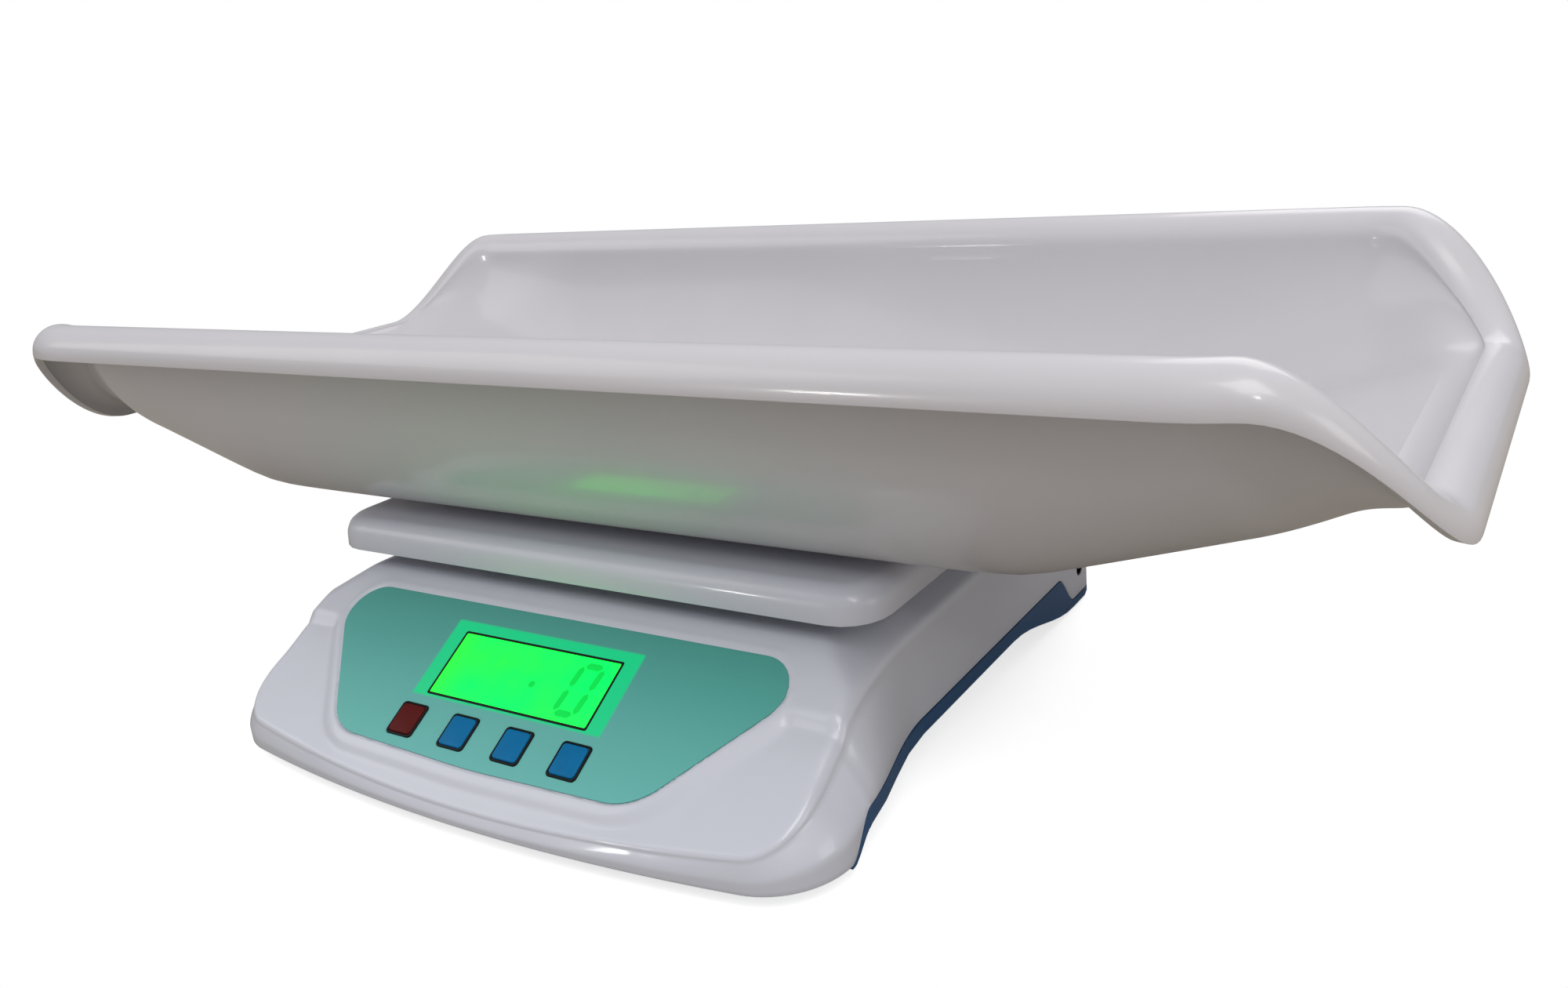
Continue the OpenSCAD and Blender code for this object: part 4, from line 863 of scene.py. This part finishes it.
class SCALE_OT_label(bpy.types.Operator):
    """Lays the printed film label into its recess, with a black line round the window"""
    bl_idname = "scale.label"
    bl_label = "Film label"

    def execute(self, context):
        deselect()
        obj = mesh_object("panel_film", [(x, s, -FILM_T) for x, s in LABEL], [tuple(range(len(LABEL)))])
        outward(obj)
        face_up(obj, obj.data.polygons[0])
        modify(obj, "SOLIDIFY", thickness=FILM_T * MM, offset=1.0)
        holes = [hole(LCD_W, LCD_H, 0, 0, 0.8)]
        holes += [hole(FILM_HOLE_W, FILM_HOLE_H, x, -KEY_DOWN, FRAME_CORNER) for x in KEY_XS]
        cut(obj, holes)
        modify(obj, "BEVEL", width=0.12 * MM, segments=2, limit_method="ANGLE",
               angle_limit=math.radians(50))
        onto_panel(obj)
        smooth_shade(obj, 12)
        finish_piece(obj, "housing", "teal_label", finishes()["teal_label"], "control_label")
        border = bevelled_block("window_border", LCD_W - BORDER_GAP, LCD_H - BORDER_GAP, WINDOW_LOW,
                                BORDER_TOP, corner=0.8, edge=0.05, segments=1)
        cut(border, [hole(LCD_W - BORDER, LCD_H - BORDER, 0, 0, 0.5)])
        onto_panel(border)
        finish_piece(border, "housing", "black_abs", finishes()["black_abs"])
        return {"FINISHED"}


def segment_bar(x, s, length, across):
    """One bar of a seven-segment figure, with pointed ends, leaning a little."""
    h, w = length / 2, BAR_W / 2
    bar = [(-h, 0), (-h + w, w), (h - w, w), (h, 0), (h - w, -w), (-h + w, -w)]
    points = []
    for a, b in bar:
        px, ps = (a, b) if across else (b, a)
        points.append((x + px + (s + ps) * FIGURE_LEAN, s + ps))
    return points


class SCALE_OT_display(bpy.types.Operator):
    """Sets the lit display with a plain nought at its right"""
    bl_idname = "scale.display"
    bl_label = "Display"

    def execute(self, context):
        window = bevelled_block("display_window", LCD_W - BORDER, LCD_H - BORDER, WINDOW_LOW,
                                WINDOW_TOP, corner=0.5, edge=0.05, segments=1)
        onto_panel(window)
        finish_piece(window, "housing", "lcd_window", finishes()["lcd_window"], "lcd_window")
        points, faces = [], []
        bars = [(FIGURE_X, b * FIGURE_HH, BAR_ACROSS, True) for b in (1, -1)]
        bars += [(FIGURE_X + a * FIGURE_HW, b * FIGURE_HH / 2, BAR_UP, False)
                 for a in (-1, 1) for b in (-1, 1)]
        for x, s, reach, across in bars:
            start = len(points)
            points += [(px, ps, FIGURE_Z) for px, ps in segment_bar(x, s, reach, across)]
            faces.append(tuple(range(start, len(points))))
        dot = len(points)
        points += [(DOT_X + DOT_R * math.cos(a), DOT_S + DOT_R * math.sin(a), FIGURE_Z)
                   for a in np.linspace(0, 2 * math.pi, DOT_SIDES + 1)[:-1]]
        faces.append(tuple(range(dot, len(points))))
        digits = mesh_object("display_figure", points, faces)
        outward(digits)
        for f in digits.data.polygons:
            if f.normal.z < 0:
                f.flip()
        modify(digits, "SOLIDIFY", thickness=FIGURE_T * MM, offset=1.0)
        onto_panel(digits)
        finish_piece(digits, "housing", "lcd_window", finishes()["segments"])
        return {"FINISHED"}


class SCALE_OT_keys(bpy.types.Operator):
    """Makes the four key caps and the black frames round them"""
    bl_idname = "scale.keys"
    bl_label = "Keys"

    def execute(self, context):
        sizes = context.scene.scale_sizes
        wide, high = sizes.cap_width / MM, sizes.cap_height / MM
        for x, name in zip(KEY_XS, KEY_NAMES):
            cap = bevelled_block(name + "_cap", wide, high, CAP_LOW, CAP_TOP, x, -KEY_DOWN,
                                 corner=CAP_CORNER, edge=CAP_EDGE, segments=4)
            flange = bevelled_block("flange", FLANGE_W, FLANGE_H, FLANGE_LOW, FLANGE_TOP, x, -KEY_DOWN,
                                    corner=1.0, edge=0.2)
            stem = cylinder("stem", STEM_R, STEM_LOW, STEM_TOP, x, -KEY_DOWN, 32)
            obj = join([cap, flange, stem], name + "_cap")
            onto_panel(obj)
            smooth_shade(obj, 40)
            slot = "red_key" if name == "key_power" else "blue_key"
            finish_piece(obj, name, slot, finishes()[slot], name)
        rims = []
        for x in KEY_XS:
            rim = bevelled_block("key_rim", FRAME_W, FRAME_H, -FRAME_Z, FRAME_Z, x, -KEY_DOWN,
                                 corner=FRAME_CORNER, edge=0.3)
            cut(rim, [hole(FRAME_IN_W, FRAME_IN_H, x, -KEY_DOWN, FRAME_IN_CORNER)])
            rims.append(rim)
        obj = join(rims, "key_rims")
        onto_panel(obj)
        smooth_shade(obj, 40)
        finish_piece(obj, "housing", "black_abs", finishes()["black_abs"], "key_frames")
        return {"FINISHED"}


class SCALE_OT_finishes(bpy.types.Operator):
    """Gives every remaining solid the finish of its material"""
    bl_idname = "scale.finishes"
    bl_label = "Finishes"

    def execute(self, context):
        slots = {part["node"]: part["material_slot"] for part in frame["record"]["subparts"]}
        for node, obj in frame["nodes"].items():
            material = finishes()[slots[node]]
            if not obj.material_slots:
                obj.data.materials.append(material)
            for place in obj.material_slots:
                place.material = material
        return {"FINISHED"}


# ---- stage --------------------------------------------------------------------------------

def camera_matrix():
    """Place and turn of the camera that took the photo."""
    yaw, pitch, roll = (math.radians(a) for a in CAMERA_TURN)
    ahead = Vector((-math.sin(yaw) * math.cos(pitch), math.cos(yaw) * math.cos(pitch),
                    -math.sin(pitch)))
    level = Vector((math.cos(yaw), math.sin(yaw), 0))
    upright = level.cross(ahead)
    right = math.cos(roll) * level + math.sin(roll) * upright
    up = -math.sin(roll) * level + math.cos(roll) * upright
    m = Matrix((right, up, -ahead)).transposed().to_4x4()
    m.translation = Vector(CAMERA_AT) * MM
    return m


class SCALE_OT_stage(bpy.types.Operator):
    """Sets the floor, the soft lights and the camera"""
    bl_idname = "scale.stage"
    bl_label = "Stage"

    def execute(self, context):
        scene = context.scene
        deselect()
        bpy.ops.mesh.primitive_plane_add(size=FLOOR_SIZE)
        floor = context.object
        floor.name = "studio_floor"
        material, tree = new_finish("pale_floor")
        # The camera sees white paper that keeps only the soft shadow close to the object
        path = add(tree, "ShaderNodeLightPath")
        place = add(tree, "ShaderNodeTexCoord").outputs["Object"]
        mirrored = add(tree, "ShaderNodeVectorMath", {0: place}, operation="ABSOLUTE")
        beyond = add(tree, "ShaderNodeVectorMath", {0: mirrored.outputs[0], 1: (
            BODY_HW * MM, -FRONT_Y * MM, 0.0)}, operation="SUBTRACT")
        outside = add(tree, "ShaderNodeVectorMath", {0: beyond.outputs[0]}, operation="MAXIMUM")
        away = add(tree, "ShaderNodeVectorMath", {0: outside.outputs[0]}, operation="LENGTH")
        fade = add(tree, "ShaderNodeMapRange", {"Value": away.outputs["Value"],
                                                "From Max": SHADOW_REACH},
                   interpolation_type="SMOOTHSTEP")
        matt = add(tree, "ShaderNodeBsdfDiffuse", {"Color": linear("#F4F4F4")})
        dull = add(tree, "ShaderNodeBsdfDiffuse", {"Color": linear("#A19A8E")})
        lift = add(tree, "ShaderNodeEmission", {"Color": (1, 1, 1, 1), "Strength": 0.68})
        white = add(tree, "ShaderNodeEmission", {"Color": (1, 1, 1, 1), "Strength": 1.0})
        both = add(tree, "ShaderNodeAddShader", {0: matt.outputs[0], 1: lift.outputs[0]})
        paper = add(tree, "ShaderNodeMixShader", {"Fac": fade.outputs["Result"], 1: both.outputs[0],
                                                  2: white.outputs[0]})
        choose = add(tree, "ShaderNodeMixShader", {"Fac": path.outputs["Is Camera Ray"],
                                                   1: dull.outputs[0], 2: paper.outputs[0]})
        add(tree, "ShaderNodeOutputMaterial", {"Surface": choose.outputs[0]})
        floor.data.materials.append(material)

        world = bpy.data.worlds.new("studio")
        scene.world = world
        world.use_nodes = True
        tree = world.node_tree
        tree.nodes.clear()
        path = add(tree, "ShaderNodeLightPath")
        # The room gives more light from above than from its walls
        towards = add(tree, "ShaderNodeSeparateXYZ", {
            0: add(tree, "ShaderNodeTexCoord").outputs["Generated"]})
        room = add(tree, "ShaderNodeMapRange", {"Value": towards.outputs["Z"], "To Min": 0.38,
                                                "To Max": 0.8})
        dim = add(tree, "ShaderNodeBackground", {"Color": (0.95, 0.96, 1.0, 1),
                                                 "Strength": room.outputs["Result"]})
        pale = add(tree, "ShaderNodeBackground", {"Color": (1, 1, 1, 1), "Strength": 1.0})
        pick = add(tree, "ShaderNodeMixShader", {"Fac": path.outputs["Is Camera Ray"],
                                                 1: dim.outputs[0], 2: pale.outputs[0]})
        add(tree, "ShaderNodeOutputWorld", {"Surface": pick.outputs[0]})

        for name, place, size, power in LAMPS:
            light = bpy.data.lights.new(name, "AREA")
            light.shape = "SQUARE"
            light.size = size
            light.energy = power
            light.color = LAMP_COLOUR
            obj = bpy.data.objects.new(name, light)
            obj.location = place
            aim = Vector(LAMP_AIM) - Vector(place)
            obj.rotation_euler = aim.to_track_quat("-Z", "Y").to_euler()
            scene.collection.objects.link(obj)

        data = bpy.data.cameras.new("photo_camera")
        data.sensor_width = SENSOR_MM
        data.lens = FOCAL_PX * SENSOR_MM / PHOTO_PX
        data.clip_start = CLIP_START
        camera = bpy.data.objects.new("photo_camera", data)
        camera.matrix_world = camera_matrix()
        scene.collection.objects.link(camera)
        scene.camera = camera
        scene.view_settings.view_transform = "Standard"
        return {"FINISHED"}


# ---- add-on ---------------------------------------------------------------------------------

def length(name, text, value, low, high):
    return FloatProperty(name=name, description=text, default=value, min=low, max=high,
                         unit="LENGTH", precision=4)


def tint(name, text, hex_colour):
    return FloatVectorProperty(name=name, description=text, default=linear(hex_colour), size=4,
                               min=0.0, max=1.0, subtype="COLOR")


class ScaleSizes(bpy.types.PropertyGroup):
    """Sizes a user may change"""
    wall: length("Housing wall", "Wall thickness of the housing", 0.0024, 0.0015, 0.003)
    tray_wall: length("Tray wall", "Wall thickness of the tray", 0.003, 0.002, 0.004)
    tray_length: length("Tray length", "Length of the tray over its rims", 0.5485, 0.5, 0.6)
    tray_width: length("Tray width", "Width of the tray over its rims", 0.2666, 0.25, 0.28)
    rim_height: length("Side rim", "Height of the long rims over the pads", 0.0751, 0.06, 0.08)
    end_height: length("End rim", "Height of the end rims over the pads", 0.0353, 0.032, 0.038)
    rim_radius: length("Side rim roll", "Radius of the rolled long rims", 0.0105, 0.009, 0.013)
    end_rim_radius: length("End rim roll", "Radius of the rolled end rims", 0.0103, 0.009, 0.012)
    platform_width: length("Platform width", "Size of the platform along X", 0.24, 0.2, 0.25)
    platform_depth: length("Platform depth", "Size of the platform along Y", 0.19, 0.15, 0.2)
    cap_width: length("Key width", "Width of a key cap", 0.0103, 0.008, 0.0105)
    cap_height: length("Key height", "Height of a key cap along the panel", 0.0109, 0.008, 0.0111)


class ScaleColours(bpy.types.PropertyGroup):
    """Colours a user may change"""
    housing: tint("Housing", "White of the housing and platform", "#CDCFD9")
    tray: tint("Tray", "White of the tray", "#CBC8CC")
    base: tint("Base", "Blue of the lower housing", "#27537F")
    # The film's colour at its lower edge, and the darker colour at its upper edge that holds painted
    # shade
    label_low: tint("Label, low", "Teal of the film at its lower edge", "#66B5AE")
    label_high_shaded: tint("Label, high", "Teal of the film at its upper edge", "#4C9A90")
    frames: tint("Frames", "Black of the key frames and window border", "#07080A")
    red_key: tint("Red key", "Cap of the power key", "#5A0C0A")
    blue_keys: tint("Blue keys", "Caps of the other keys", "#006EA4")
    display: tint("Display", "Light of the display", "#03FF4E")


class SCALE_PT_panel(bpy.types.Panel):
    """Lists the pieces of the scale"""
    bl_idname = "SCALE_PT_panel"
    bl_label = "Baby weighing scale"
    bl_space_type = "VIEW_3D"
    bl_region_type = "UI"
    bl_category = "Scale"

    def draw(self, context):
        layout = self.layout
        for group in (context.scene.scale_sizes, context.scene.scale_colours):
            for name in group.__annotations__:
                layout.prop(group, name)
        for operator in OPERATORS:
            layout.operator(operator.bl_idname)


OPERATORS = (SCALE_OT_stage, SCALE_OT_finishes, SCALE_OT_housing, SCALE_OT_platform, SCALE_OT_tray,
             SCALE_OT_label, SCALE_OT_display, SCALE_OT_keys)
CLASSES = (ScaleSizes, ScaleColours) + OPERATORS + (SCALE_PT_panel,)


def register():
    for item in CLASSES:
        bpy.utils.register_class(item)
    bpy.types.Scene.scale_sizes = PointerProperty(type=ScaleSizes)
    bpy.types.Scene.scale_colours = PointerProperty(type=ScaleColours)


def unregister():
    del bpy.types.Scene.scale_sizes
    del bpy.types.Scene.scale_colours
    for item in reversed(CLASSES):
        bpy.utils.unregister_class(item)


def main():
    register()
    bpy.ops.scale.stage()
    bpy.ops.scale.finishes()
    bpy.ops.scale.housing()
    bpy.ops.scale.platform()
    bpy.ops.scale.tray()
    bpy.ops.scale.label()
    bpy.ops.scale.display()
    bpy.ops.scale.keys()


if __name__ == "__main__":
    main()
